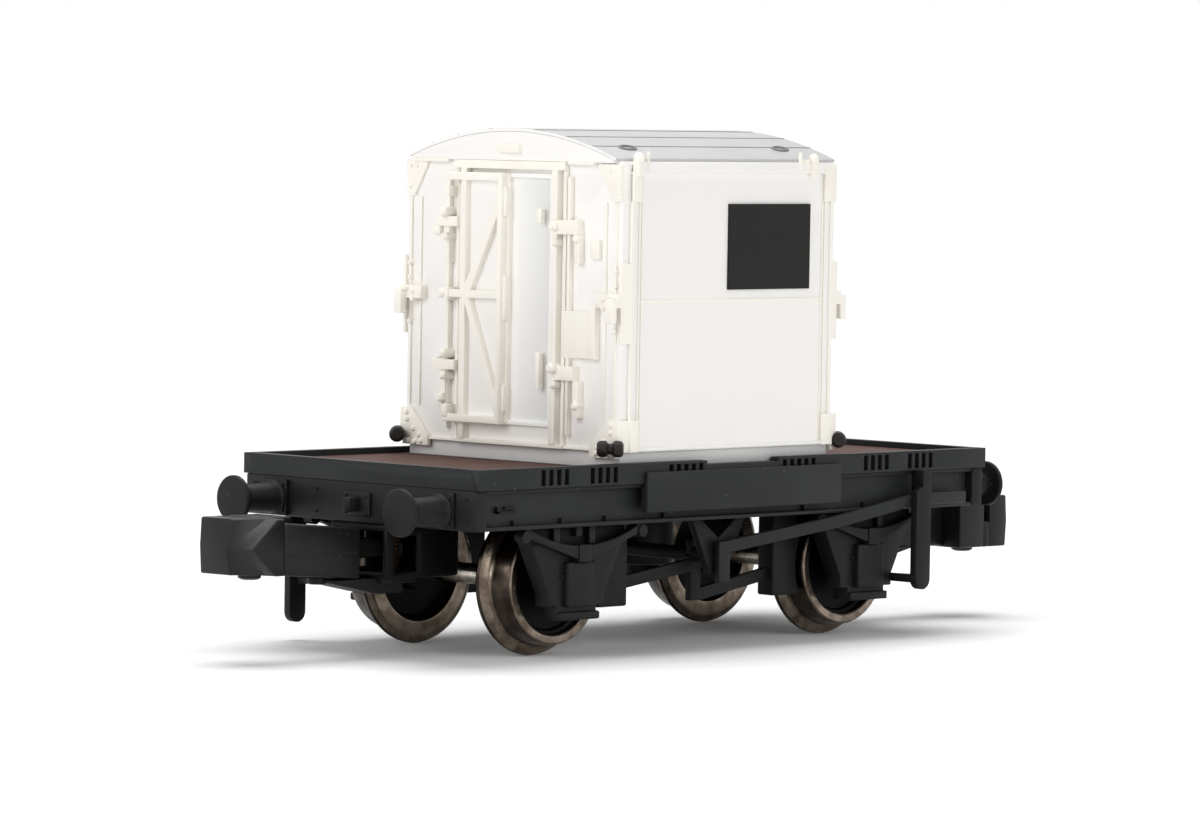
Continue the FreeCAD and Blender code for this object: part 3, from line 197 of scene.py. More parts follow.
card, tree = new_material("white_card")
sheet = add(tree, "ShaderNodeBsdfPrincipled", {"Base Color": colour("f8f8f8"), "Roughness": 0.8})
lift = add(tree, "ShaderNodeMath", {0: seen_rays(tree), 1: CARD_GLOW}, operation="MULTIPLY")
glow = add(tree, "ShaderNodeEmission", {"Color": colour("ffffff"), "Strength": lift.outputs[0]})
both = add(tree, "ShaderNodeAddShader", {0: sheet.outputs[0], 1: glow.outputs[0]})
add(tree, "ShaderNodeOutputMaterial", {"Surface": both.outputs[0]})

bm = bmesh.new()
bmesh.ops.create_grid(bm, x_segments=1, y_segments=1, size=CARD_HALF)
floor_mesh = bpy.data.meshes.new("floor")
bm.to_mesh(floor_mesh)
bm.free()
floor_mesh.materials.append(card)
floor = bpy.data.objects.new("floor", floor_mesh)
scene.collection.objects.link(floor)
scene.view_settings.view_transform = "Standard"
print("floor and world ready")

# %% [markdown]
# ## Lamps
#
# A wide lamp overhead gives the soft shadow on the card, and two smaller ones
# light the door end and the near side, each from low down in front of it. A
# sun or a small lamp would cut hard shadows that make a model look harsh. The
# power is set so that a colour comes out about as it is written, and so that
# the white walls stay just short of pure white.

# %% Lamps
LAMPS = (
    # name, azimuth, elevation, distance, size, watts
    ("top", 135, 78, 1.5, 1.3, 18.0),
    ("front_left", -92, 24, 0.9, 0.7, 4.0),
    ("front_right", 2, 24, 0.9, 0.7, 2.6),
)
for name, azimuth, elevation, distance, size, watts in LAMPS:
    a, e = math.radians(azimuth), math.radians(elevation)
    way = Vector((math.sin(a) * math.cos(e), -math.cos(a) * math.cos(e), math.sin(e)))
    lamp = bpy.data.lights.new(name, "AREA")
    lamp.shape, lamp.size, lamp.energy = "DISK", size, watts
    shade = bpy.data.objects.new(name, lamp)
    scene.collection.objects.link(shade)
    shade.matrix_world = (Matrix.Translation(Vector((0, 0, 0.01)) + way * distance)
                          @ way.to_track_quat("Z", "Y").to_matrix().to_4x4())
print("lamps:", len(LAMPS))

# %% [markdown]
# ## Moulded plastic
#
# Nearly everything here is injection moulded styrene, sprayed with a thin
# matt paint. A mould gives an even skin. The spray adds a fine grain and faint
# clouds where the paint is thicker, and a few specks of dust settle on it. A
# painted image texture could show this, but noise that is measured in the
# object's own space needs no unwrapping and goes round every corner. The same
# recipe with other colours and other gloss makes every plastic on the wagon.

# %% A recipe for painted plastic
GRAIN_MM = 0.09         # spray grain; the real one is finer, drawn coarser so that it shows
GRAIN_DEEP_MM = 0.02
CLOUD_MM = 2.4          # clouds in the paint
DUST_MM = 0.9           # from one speck to the next
GLOSS_SPREAD = 0.06     # thicker paint is a little shinier
STYRENE_IOR = 1.49


def moulded(name, shade, cloud, roughness, specks=None, grain=0.35, specular=0.5):
    """Painted styrene: cloudy colour, spray grain and, if asked, dust specks."""
    made, tree = new_material(name)
    where = add(tree, "ShaderNodeTexCoord").outputs["Object"]
    clouds = add(tree, "ShaderNodeTexNoise", {"Vector": where, "Scale": 1 / (CLOUD_MM * MM),
                                              "Detail": 3.0})
    mixed = add(tree, "ShaderNodeMix", {"Factor": clouds.outputs[0], "A": colour(shade),
                                        "B": colour(cloud)}, data_type="RGBA")
    paint = picked(mixed)
    spray = add(tree, "ShaderNodeTexNoise", {"Vector": where, "Scale": 1 / (GRAIN_MM * MM),
                                             "Detail": 2.0})
    relief = add(tree, "ShaderNodeBump", {"Height": spray.outputs[0], "Strength": grain,
                                          "Distance": GRAIN_DEEP_MM * MM})
    if specks:
        dust = add(tree, "ShaderNodeTexVoronoi", {"Vector": where, "Scale": 1 / (DUST_MM * MM)})
        spot = add(tree, "ShaderNodeMapRange", {"Value": dust.outputs["Distance"], "From Min": 0.035,
                                                "From Max": 0.06, "To Min": 0.55, "To Max": 0.0})
        paint = picked(add(tree, "ShaderNodeMix", {"Factor": spot.outputs[0], "A": paint,
                                                   "B": colour(specks)}, data_type="RGBA"))
    gloss = add(tree, "ShaderNodeMapRange", {"Value": clouds.outputs[0],
                                             "To Min": roughness - GLOSS_SPREAD,
                                             "To Max": roughness + GLOSS_SPREAD})
    shader = add(tree, "ShaderNodeBsdfPrincipled", {
        "Base Color": paint, "Roughness": gloss.outputs[0], "IOR": STYRENE_IOR,
        "Specular IOR Level": specular, "Normal": relief.outputs[0]})
    add(tree, "ShaderNodeOutputMaterial", {"Surface": shader.outputs[0]})
    return made


# Dark matt paint on the frame: a little warmth, and hardly any gloss.
rail_grey = moulded("rail_grey", "222425", "1a1b1c", 0.5, specks="5d6163", specular=0.22)
frame_grey = moulded("frame_grey", "141516", "0f1011", 0.5, specks="515456", specular=0.2)
# Bare black nylon, smoother than paint, so that its bevels catch the light.
coupler_black = moulded("coupler_black", "1a1918", "131211", 0.34, specks="5c5a58", grain=0.4,
                        specular=0.22)
# Bare black plastic in the shade of the frame, on the wheel centres and pockets.
# The same black is painted on the axleguards behind the springs as shade.
black_plastic_and_shade = moulded("black_plastic_and_shade", "0b0a0a", "070606", 0.5, specular=0.12)
shackle_black = moulded("shackle_black", "171412", "1f1a17", 0.4, specular=0.25)
# Dull wood-brown paint: flat, with dust lying on it.
deck_brown = moulded("deck_brown", "5c443c", "4b362f", 0.65, specks="8b7f7a", specular=0.1)
# Satin white on the container's walls, and a brighter white on the shut door,
# painted light to make up for the shade of its recess beside the proud leaf.
# The ivory of thick white plastic is on everything that stands proud.
wall_white = moulded("wall_white", "f8f6f3", "f5f3f0", 0.45, grain=0.15, specular=0.3)
door_white_painted_light = moulded("door_white_painted_light", "fdfdfb", "f9f9f7", 0.45, grain=0.15, specular=0.3)
trim_ivory = moulded("trim_ivory", "faf7ef", "f7f2e8", 0.4, grain=0.15, specular=0.3)
# Pale greys: a roof of painted sheet, its joints, and the strip under the walls.
# The strip's grey is partly its own colour and partly painted shade for its low place under the walls.
roof_grey = moulded("roof_grey", "c6c6c6", "bdbdbe", 0.5, specks="a9a9a8", grain=0.2, specular=0.3)
joint_grey = moulded("joint_grey", "8d8d8f", "7f7f82", 0.6, grain=0.2, specular=0.2)
base_grey_and_shade = moulded("base_grey_and_shade", "dbdbda", "d2d2d1", 0.5, grain=0.2, specular=0.3)
# A blackboard square: flat black with no shine at all.
panel_black = moulded("panel_black", "242322", "201f1e", 0.6, grain=0.2, specular=0.15)
print("plastics ready")

# %% [markdown]
# ## Turned metal
#
# The tyres are turned from a copper alloy and chemically dulled, so they are
# brownish silver with fine rings from the lathe tool. An anisotropic shader
# could smear the shine along the rings, but rings as real relief also look
# right from near by. They run round the axle, so the pattern has to know where
# each axle is: a Mapping node moves the axle's middle to zero before a wave
# texture counts distance from it.

# %% A recipe for turned metal
TOOL_MARK_MM = 0.12     # one ring; the real ones are finer, drawn coarser so that they show
WAVE_RINGS = 20         # a wave texture's Scale is in twentieths of a ring
MARK_DEEP_MM = 0.02
STAIN_MM = 0.8          # patches where the dulling took better
STAIN_GLOSS = 0.07      # and where it leaves less shine


def turned_metal(name, shade, worn, roughness, axle_x, axle_z):
    made, tree = new_material(name)
    where = add(tree, "ShaderNodeTexCoord").outputs["Object"]
    centred = add(tree, "ShaderNodeMapping", {"Vector": where,
                                              "Location": (-axle_x * MM, 0, -axle_z * MM)})
    rings = add(tree, "ShaderNodeTexWave", {"Vector": centred.outputs[0],
                                            "Scale": 1 / (WAVE_RINGS * TOOL_MARK_MM * MM),
                                            "Distortion": 0.6, "Detail": 1.0},
                wave_type="RINGS", rings_direction="Y")
    stain = add(tree, "ShaderNodeTexNoise", {"Vector": where, "Scale": 1 / (STAIN_MM * MM),
                                             "Detail": 4.0})
    spread = add(tree, "ShaderNodeMapRange", {"Value": stain.outputs[0], "From Min": 0.35,
                                              "From Max": 0.65})
    mixed = add(tree, "ShaderNodeMix", {"Factor": spread.outputs[0], "A": colour(shade),
                                        "B": colour(worn)}, data_type="RGBA")
    relief = add(tree, "ShaderNodeBump", {"Height": rings.outputs["Fac"], "Strength": 0.25,
                                          "Distance": MARK_DEEP_MM * MM})
    gloss = add(tree, "ShaderNodeMapRange", {"Value": spread.outputs[0],
                                             "To Min": roughness - STAIN_GLOSS,
                                             "To Max": roughness + STAIN_GLOSS})
    shader = add(tree, "ShaderNodeBsdfPrincipled", {
        "Base Color": picked(mixed), "Metallic": 1.0, "Roughness": gloss.outputs[0],
        "Normal": relief.outputs[0]})
    add(tree, "ShaderNodeOutputMaterial", {"Surface": shader.outputs[0]})
    return made


AXLE_Z = pivots["front_wheelset"][2]
AXLES = [(end, pivots[end + "_wheelset"][0]) for end in ("front", "rear")]
# Dulled alloy on the tyres' faces: brownish silver with a soft shine.
tyre_metal = {end: turned_metal("tyre_metal_" + end, "8c8073", "5a4f45", 0.27, x, AXLE_Z)
              for end, x in AXLES}
# The tread gets a darker colour than the tyres' faces.
tread_metal = {end: turned_metal("tread_metal_" + end, "4d443c", "2f2924", 0.27, x, AXLE_Z)
               for end, x in AXLES}
# Bright steel rod, dark brass wire and a stamped steel weight.
axle_metal = {end: turned_metal("axle_metal_" + end, "c9c2b8", "a39a8e", 0.25, x, AXLE_Z)
              for end, x in AXLES}
spring_brass = turned_metal("spring_brass", "5e4630", "3a2b1e", 0.4, 0, 0)
weight_metal = turned_metal("weight_metal", "8e9092", "75777a", 0.5, 0, 0)
print("metals ready")

# %% [markdown]
# ## Softening what the CAD model made
#
# A CAD solid has edges with no width, and an edge with no width never catches
# light. A moulded part has small rounds everywhere. A live Bevel modifier on
# the CAD nodes would round every triangle, because their triangles are loose.
# So a copy of each solid is taken, its triangles are merged and joined to flat
# faces, and its outward corners are bevelled. The copy then stands for the
# CAD node.

# %% Helpers for copies of CAD nodes
LOOSE = 0.002                   # corners nearer than this are one
TOUCHING = 0.001
FLAT = math.radians(1)
SMOOTH = math.radians(32)       # a sharper turn than this keeps its edge


def cad_copy(*names):
    """CAD nodes as one bmesh in millimetres, with merged and joined faces."""
    bm = bmesh.new()
    for name in names:
        bm.from_mesh(nodes[name].data)
    bmesh.ops.scale(bm, vec=(1 / MM,) * 3, verts=bm.verts)
    bmesh.ops.remove_doubles(bm, verts=bm.verts, dist=LOOSE)
    bmesh.ops.dissolve_limit(bm, angle_limit=FLAT, verts=bm.verts, edges=bm.edges)
    return bm


def soften(bm, width, segments=2, over=30, edges=None):
    """Round the outward corners that turn by more than some degrees."""
    sharp = [e for e in (edges or bm.edges)
             if e.is_manifold and e.calc_face_angle_signed(0) > math.radians(over)]
    bmesh.ops.bevel(bm, geom=sharp, offset=width, offset_type="OFFSET", affect="EDGES",
                    segments=segments, profile=0.5, clamp_overlap=True, material=-1)
    return bm


def piece_from(bm, name, look, body="wagon", stands_for=()):
    """Finish a bmesh made in millimetres as a piece that rides on a body."""
    bmesh.ops.scale(bm, vec=(MM,) * 3, verts=bm.verts)
    bmesh.ops.recalc_face_normals(bm, faces=bm.faces)
    mesh = bpy.data.meshes.new(name)
    bm.to_mesh(mesh)
    bm.free()
    mesh.materials.append(look)
    mesh.polygons.foreach_set("use_smooth", [True] * len(mesh.polygons))
    mesh.set_sharp_from_angle(angle=SMOOTH)
    piece = bpy.data.objects.new(name, mesh)
    scene.collection.objects.link(piece)
    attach(piece, body)
    if stands_for:
        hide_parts(*stands_for)
    print("%-28s %6d faces" % (name, len(mesh.polygons)))
    return piece


def second_finish(piece, look, belongs):
    """Give a second material to the faces that a test, in millimetres, picks."""
    piece.data.materials.append(look)
    for face in piece.data.polygons:
        if belongs(face.center / MM, face.normal):
            face.material_index = 1


# %% Helpers for new shapes
def block(bm, x, y, z):
    """A block between two limits along each axis, in millimetres."""
    made = bmesh.ops.create_cube(bm, size=1)["verts"]
    spans = [sorted(limits) for limits in (x, y, z)]
    bmesh.ops.scale(bm, vec=[high - low for low, high in spans], verts=made)
    bmesh.ops.translate(bm, vec=[(high + low) / 2 for low, high in spans], verts=made)
    return made


def turn(bm, profile, centre, axis, steps=64):
    """Spin (radius, along) corners round an axis through a centre."""
    axis, centre = Vector(axis), Vector(centre)
    out = axis.orthogonal().normalized()
    chain = [bm.verts.new(centre + axis * along + out * radius) for radius, along in profile]
    links = [bm.edges.new(pair) for pair in zip(chain, chain[1:])]
    bmesh.ops.spin(bm, geom=chain + links, cent=centre, axis=axis, angle=2 * math.pi,
                   steps=steps, use_merge=True, dvec=(0, 0, 0))
    bmesh.ops.remove_doubles(bm, verts=bm.verts, dist=TOUCHING)
    return bm


def cut_across(bm, point, normal):
    """Cut all faces where a plane passes, and keep both halves."""
    bmesh.ops.bisect_plane(bm, geom=bm.verts[:] + bm.edges[:] + bm.faces[:], dist=TOUCHING,
                           plane_co=point, plane_no=normal)


def plate(bm, corners, axis, start, end):
    """A flat outline extruded along X or Y; corners are (Y, Z) or (X, Z)."""
    spots = [(start, a, b) if axis == "X" else (a, start, b) for a, b in corners]
    face = bm.faces.new([bm.verts.new(spot) for spot in spots])
    grown = bmesh.ops.extrude_face_region(bm, geom=[face])["geom"]
    moved = [item for item in grown if isinstance(item, bmesh.types.BMVert)]
    way = (end - start, 0, 0) if axis == "X" else (0, end - start, 0)
    bmesh.ops.translate(bm, vec=way, verts=moved)


# %% [markdown]
# ## Softened parts
#
# On the real model these are mouldings in three plastics. They could
# be softened one by one, but a table says which solids share a plastic and how
# round the mould left their corners, from 0.03 mm on the thin door to 0.25 mm
# on the brake cylinder. The axleguards' outer faces behind the springs are
# painted black as shade, standing for the dark gap behind the springs.

# %% Softened parts
# height and distance out beyond which the axleguards' faces are painted black as the shade behind the
# springs
PAINTED_SHADE_LOW, PAINTED_SHADE_OUT = 5.6, 7.1
SOFTENED = (
    # piece, CAD nodes, width of the rounds, slot, finish
    ("deck_rails", ("side_rail_near", "side_rail_far", "end_rail_front", "end_rail_rear"), 0.07,
     "underframe_plastic", rail_grey),
    ("solebars", ("solebar_near", "solebar_far"), 0.05, "underframe_plastic", rail_grey),
    ("headstocks", ("headstock_front", "headstock_rear"), 0.07, "underframe_plastic", frame_grey),
    ("nameboards", ("nameboard_near", "nameboard_far"), 0.06, "underframe_plastic", rail_grey),
    ("axleguards_front", ("axleguard_front_near", "axleguard_front_far"), 0.12,
     "underframe_plastic", frame_grey),
    ("axleguards_rear", ("axleguard_rear_near", "axleguard_rear_far"), 0.12,
     "underframe_plastic", frame_grey),
    ("leaf_springs", ("springs_near", "springs_far"), 0.06, "underframe_plastic", frame_grey),
    ("brake_block_set", ("brake_blocks_near", "brake_blocks_far"), 0.1, "underframe_plastic", frame_grey),
    ("push_rods", ("brake_rods_near", "brake_rods_far"), 0.08, "underframe_plastic", frame_grey),
    ("hangers", ("v_hanger_near", "v_hanger_far"), 0.06, "underframe_plastic", frame_grey),
    ("levers", ("brake_lever_near", "brake_lever_far"), 0.1, "underframe_plastic", rail_grey),
    ("cylinder_body", ("brake_cylinder",), 0.25, "underframe_plastic", frame_grey),
    ("lever_guards", ("lever_guard_near", "lever_guard_far"), 0.14, "underframe_plastic", frame_grey),
    ("frame_floor", ("underframe",), 0.06, "underframe_plastic", frame_grey),
    ("pockets", ("coupler_pocket_front", "coupler_pocket_rear"), 0.15, "underframe_plastic", black_plastic_and_shade),
    ("drawhooks", ("drawhook_front", "drawhook_rear"), 0.12, "underframe_plastic", frame_grey),
    ("container_foot", ("container_base",), 0.06, "base_plastic", base_grey_and_shade),
    ("container_walls", ("container_side_near", "container_side_far"), 0.05,
     "container_plastic", wall_white),
    ("container_ends", ("container_end_front", "container_end_rear"), 0.05,
     "container_plastic", wall_white),
    # the shut door's brighter white is painted light against the shade of its recess
    ("right_door", ("container_door_right",), 0.03, "container_plastic", door_white_painted_light),
    ("door_irons", ("door_frame",), 0.06, "container_plastic", trim_ivory),
    ("corner_ironwork", ("corner_irons",), 0.06, "container_plastic", trim_ivory),
)
for name, parts, width, slot_name, look in SOFTENED:
    bm = soften(cad_copy(*parts), width)
    # the axleguards are cut where the painted shade behind the springs begins, and the outer faces above
    # the cut are painted black as that shade
    if name.startswith("axleguards"):
        cut_across(bm, (0, 0, PAINTED_SHADE_LOW), (0, 0, 1))
    made = piece_from(bm, name, look, stands_for=parts)
    if name.startswith("axleguards"):
        second_finish(made, black_plastic_and_shade,
                      lambda centre, normal: centre.z > PAINTED_SHADE_LOW and abs(centre.y) > PAINTED_SHADE_OUT)

# %% [markdown]
# ## Wheels
#
# Each wheel is a turned metal tyre pressed on a black plastic centre, and two
# wheels share an axle. Rings could be built from cylinders, but a flange has a
# curve on every side, so a half section of the tyre is drawn once and spun
# round the axle, which is just what the lathe does.

# %% Wheelsets
TYRE = (
    # radius, out from the wheel's inner face
    (2.62, 0.0), (3.3, 0.0), (3.5, 0.03), (3.64, 0.14), (3.7, 0.28), (3.66, 0.42), (3.5, 0.54),
    (3.28, 0.62), (3.19, 0.74), (3.17, 0.9), (3.10, 1.8), (3.06, 1.89), (2.98, 1.95),
    (2.68, 1.95), (2.62, 1.91), (2.58, 1.7), (2.58, 0.2), (2.62, 0.0))
CENTRE = (
    (0.5, 0.25), (0.95, 0.25), (1.0, 0.3), (1.1, 0.62), (2.3, 0.62), (2.42, 0.5), (2.58, 0.45),
    (2.58, 1.55), (2.44, 1.5), (2.34, 1.32), (1.1, 1.32), (1.0, 1.7), (0.95, 1.75), (0.5, 1.75),
    (0.5, 0.25))
WHEEL_INNER = reach("tyres_front", "y")[1] - max(out for _, out in TYRE)     # from the middle line
TREAD_FROM = 3.0
AXLE = (
    # radius, along from the middle
    (0.0, -6.75), (0.3, -6.2), (0.3, -5.78), (0.5, -5.7), (0.5, 5.7), (0.3, 5.78), (0.3, 6.2), (0.0, 6.75))
for end, x in AXLES:
    body = end + "_wheelset"
    for name, section, look, slot_name in (("tyres_", TYRE, tyre_metal[end], "nickel_tyre"),
                                           ("wheel_centres_", CENTRE, black_plastic_and_shade, "black_plastic")):
        bm = bmesh.new()
        for out in (-1, 1):
            turn(bm, section, (x, out * WHEEL_INNER, AXLE_Z), (0, out, 0), steps=96)
        made = piece_from(bm, name + "turned_" + end, look, body, (name + end,))
        if section is TYRE:
            second_finish(made, tread_metal[end], lambda centre, normal: abs(normal.y) < 0.5
                          and math.hypot(centre.x - x, centre.z - AXLE_Z) > TREAD_FROM)
    bm = turn(bmesh.new(), AXLE, (x, 0, AXLE_Z), (0, 1, 0), steps=32)
    piece_from(bm, "axle_turned_" + end, axle_metal[end], body, ("axle_" + end,))

# %% [markdown]
# ## Buffers
#
# A buffer on the model is one moulding: a square base with bolts, a tapering
# barrel, a thin stem and a round head. The round part could be stacked from
# cylinders and cones, but one profile spun about the buffer's own axis has no
# seams inside it, and the base and its bolts are blocks set against it.

# %% Buffers
BUFFER = (
    # radius, out from the headstock
    (0.0, 0.0), (0.86, 0.0), (0.86, 0.3), (0.78, 0.36), (0.74, 0.5), (0.66, 2.2), (0.52, 2.3), (0.5, 2.62),
    (1.08, 2.66), (1.15, 2.72), (1.15, 2.86), (1.09, 2.93), (0.6, 2.98), (0.0, 3.0))
BUFFER_Y, BUFFER_Z = 5.87, halfway("buffers_rear", "z")
HEADSTOCK_X = reach("headstock_rear", "x")[1]
BASE_HALF, BASE_HEIGHT = 0.87, (6.55, 8.3)
BASE_THICK, SUNK = 0.18, 0.02
BOLT_HALF, BOLT_THICK = 0.11, 0.12
BOLT_ASIDE, BOLT_HEIGHTS = 0.62, (6.78, 8.04)
for end, sign in (("front", -1), ("rear", 1)):
    bm = bmesh.new()
    for y in (-BUFFER_Y, BUFFER_Y):
        turn(bm, BUFFER, (sign * HEADSTOCK_X, y, BUFFER_Z), (sign, 0, 0), steps=48)
        base_x = HEADSTOCK_X + BASE_THICK
        block(bm, (sign * (HEADSTOCK_X - SUNK), sign * (base_x + SUNK)), (y - BASE_HALF, y + BASE_HALF),
              BASE_HEIGHT)
        for bolt_y in (y - BOLT_ASIDE, y + BOLT_ASIDE):
            for z in BOLT_HEIGHTS:
                block(bm, (sign * base_x, sign * (base_x + BOLT_THICK)),
                      (bolt_y - BOLT_HALF, bolt_y + BOLT_HALF), (z - BOLT_HALF, z + BOLT_HALF))
    soften(bm, 0.05)
    piece_from(bm, "buffers_turned_" + end, frame_grey,
               stands_for=("buffers_" + end,))

# %% [markdown]
# ## Couplers
#
# The block coupler has a wedge nose with a ridge at mid height, and beside it
# a hook whose front stands nearly upright. Its corners could be typed in one
# by one, but a block is simply cut at the ridge and at a crease, and the
# corners of the cuts are drawn back. The twisted face that this leaves between
# nose and hook is on the real moulding too. A deep body and a flat shank lie
# behind the head, and the rear coupler is the front one turned round.

# %% Coupler heads
NOSE_SIDE, HOOK_SIDE = reach("coupler_front", "y")
RIDGE_END, CREASE = -0.45, 0.55         # between them, across the coupler
NOSE_BACK, CREASE_BACK, HOOK_BACK = 1.7, 0.3, 0.12     # drawn back from the ridge
HEAD_HALF, BODY_HALF = 1.35, 1.15
HEAD_LONG, HOOK_LONG, HOOK_THICK = 2.25, 3.75, 1.4
BODY_BACK, BODY_LOW, BODY_HIGH = 18.9, 3.9, 6.3
ARM_FROM_TIP, LIP_FROM_TIP, LUG_FROM_TIP = 1.8, (1.85, 1.35), 1.9
WEB_Y, LUG_Y = (0.0, 0.6), 0.95
PIVOT_X, _, PIVOT_Z = pivots["rear_coupler"]
SHANK_HALF, SHANK_HIGH = 0.75, 0.42
SEAM_X, SEAM_PROUD, SEAM_HEIGHT = 19.1, 0.02, (5.16, 5.21)
PIVOT = ((0.0, -1.2), (0.42, -1.2), (0.42, 1.2), (0.0, 1.2))
LUG = ((0.0, 0.1), (0.6, 0.1), (0.55, -0.2), (0.4, -0.28), (0.0, -0.28))
COUPLERS = (("front", (-1, 1, 1)), ("rear", (1, -1, 1)))      # end, how it is turned


def draw_back(bm, tip, middle):
    """Draw the top and bottom corners of a coupler's front back from its ridge."""
    for v in bm.verts:
        if v.co.x > tip - 0.01 and abs(v.co.z - middle) > 0.1:
            v.co.x -= NOSE_BACK if v.co.y < 0 else CREASE_BACK if v.co.y < 1 else HOOK_BACK


def coupler_back(tip, middle):
    """Hook arm, deep body, shank, pivot and lug, as a mesh to join to the head."""
    heel, shoulder = tip - HEAD_LONG, tip - HOOK_LONG
    low, high = middle - HEAD_HALF, middle + HEAD_HALF
    bm = bmesh.new()
    block(bm, (shoulder, tip - ARM_FROM_TIP), (CREASE, HOOK_SIDE), (low, high))
    block(bm, [tip - back for back in LIP_FROM_TIP], (CREASE, HOOK_SIDE), (low, middle))
    block(bm, (shoulder, heel + 0.05), WEB_Y, (low, high))
    plate(bm, ((heel, low), (BODY_BACK, BODY_LOW), (BODY_BACK, BODY_HIGH), (heel, high - 0.2)),
          "Y", -BODY_HALF, BODY_HALF)
    block(bm, (PIVOT_X, heel), (-SHANK_HALF, SHANK_HALF), (PIVOT_Z - SHANK_HIGH, PIVOT_Z + SHANK_HIGH))
    soften(bm, 0.12, segments=3)
    seam_half = BODY_HALF + SEAM_PROUD
    block(bm, (SEAM_X, heel - 0.2), (-seam_half, seam_half), SEAM_HEIGHT)      # where the mould parted
    turn(bm, PIVOT, (PIVOT_X, 0, PIVOT_Z), (0, 1, 0), steps=24)
    turn(bm, LUG, (tip - LUG_FROM_TIP, LUG_Y, low), (0, 0, 1), steps=20)
    back = bpy.data.meshes.new("coupler_back")
    bm.to_mesh(back)
    bm.free()
    return back


for end, turned in COUPLERS:
    tip = max(abs(x) for x in reach("coupler_" + end, "x"))
    middle = reach("coupler_" + end, "z")[1] - HEAD_HALF
    height = (middle - HEAD_HALF, middle + HEAD_HALF)
    bm = bmesh.new()
    block(bm, (tip - HEAD_LONG, tip), (NOSE_SIDE, CREASE), height)
    block(bm, (tip - HOOK_THICK, tip), (CREASE, HOOK_SIDE), height)
    cut_across(bm, (0, 0, middle), (0, 0, 1))
    cut_across(bm, (0, RIDGE_END, 0), (0, 1, 0))
    draw_back(bm, tip, middle)
    outer = [e for e in bm.edges if not all(abs(v.co.y - CREASE) < 0.01 for v in e.verts)]
    soften(bm, 0.09, over=20, edges=outer)
    back = coupler_back(tip, middle)
    bm.from_mesh(back)
    bpy.data.meshes.remove(back)
    bmesh.ops.scale(bm, vec=turned, verts=bm.verts)
    piece_from(bm, "coupler_moulded_" + end, coupler_black, end + "_coupler",
               ("coupler_" + end,))

# %% [markdown]
# ## Shackles
#
# Chains hold the real container down by a shackle at each bottom corner. The
# model has a short black pin with two heads there, set slantwise past the
# corner. It is turned from a profile like the wheels, about an axis that
# points along neither side nor end, which no ready-made cylinder would do
# without being moved and turned afterwards.

# %% Shackles
SHACKLE = (
    # radius, along from the middle
    (0.0, -0.65), (0.25, -0.65), (0.37, -0.57), (0.4, -0.44), (0.4, -0.2), (0.26, -0.08), (0.26, 0.08),
    (0.4, 0.2), (0.4, 0.44), (0.37, 0.57), (0.25, 0.65), (0.0, 0.65))
BOX_SHIFT = halfway("container_base", "y")      # the container sits off the wagon's middle line
CONTAINER_ENDS = ((reach("container_end_front", "x")[0], -1), (reach("container_end_rear", "x")[1], 1))
SHACKLE_OUT, SHACKLE_Y, SHACKLE_Z = 0.35, 7.5, 10.15
STUD_HALF = 0.2
bm = bmesh.new()
for face, way in CONTAINER_ENDS:
    for side in (-1, 1):
        middle = Vector((face + way * SHACKLE_OUT, side * SHACKLE_Y + BOX_SHIFT, SHACKLE_Z))
        turn(bm, SHACKLE, middle, Vector((1, -way * side, 0)).normalized(), steps=24)
        block(bm, (face, middle.x), (middle.y - STUD_HALF, middle.y + STUD_HALF),
              (middle.z - STUD_HALF, middle.z + STUD_HALF))
piece_from(bm, "shackle_set", shackle_black, stands_for=("shackles",))

# %% [markdown]
# ## The container's doors
#
# The left leaf stands proud and its frame, middle rail and two diagonals are
# left in the ivory of the plastic, while its flat panel is white. The panel
# could be cut out as a piece of its own, but one mesh can carry both finishes:
# faces that lie on the panel and look outwards get the second material.

# %% Left door
END_X = reach("container_door_left", "x")[1]       # the wall behind the doors
LEAF_PROUD = 0.4
door = piece_from(soften(cad_copy("container_door_left"), 0.06), "left_door",
                  trim_ivory, stands_for=("container_door_left",))
second_finish(door, wall_white, lambda centre, normal: abs(normal.x) > 0.9
              and abs(centre.x - (END_X - LEAF_PROUD)) < 0.03)

# %% [markdown]
# ## Small ironwork on the container
#
# Hinge knuckles, rods, stops and knobs are all moulded in one with the
# container. They could be parts of the CAD model, but each is only a small
# block or disc laid on the wall, and dozens of them are quicker to read and to
# move in a table: across is measured to the right as one faces the doors, up
# from the floor, and depth from the wall.

# %% Fittings round the doors
def on_end(bm, across, upright, proud, behind=0.0):
    """A block on the door end's wall."""
    block(bm, (END_X - proud, END_X - behind), (-across[0], -across[1]), upright)


HINGE_KNUCKLES = (
    # across from, to, bottom, top, from the wall, beyond the wall
    (-3.95, -3.55, 22.1, 22.6, 0.0, 0.85), (-3.95, -3.55, 16.95, 17.6, 0.0, 0.85),
    (-3.95, -3.55, 11.2, 11.8, 0.0, 0.85),
    (0.02, 0.2, 21.2, 22.6, 0.1, 0.55), (0.02, 0.2, 16.1, 18.3, 0.1, 0.55),
    (0.02, 0.2, 11.6, 12.9, 0.1, 0.55), (-0.05, 0.18, 10.98, 23.28, 0.0, 0.32),
    (-4.3, -4.05, 10.6, 22.9, 0.0, 0.3), (4.2, 4.4, 10.6, 23.2, 0.0, 0.28),
    (-5.3, -4.7, 20.2, 20.6, 0.0, 0.3), (-5.2, -4.8, 13.6, 14.1, 0.0, 0.3),
    (2.3, 2.6, 20.9, 21.6, 0.2, 0.5), (2.3, 2.6, 12.8, 14.6, 0.2, 0.5),
)
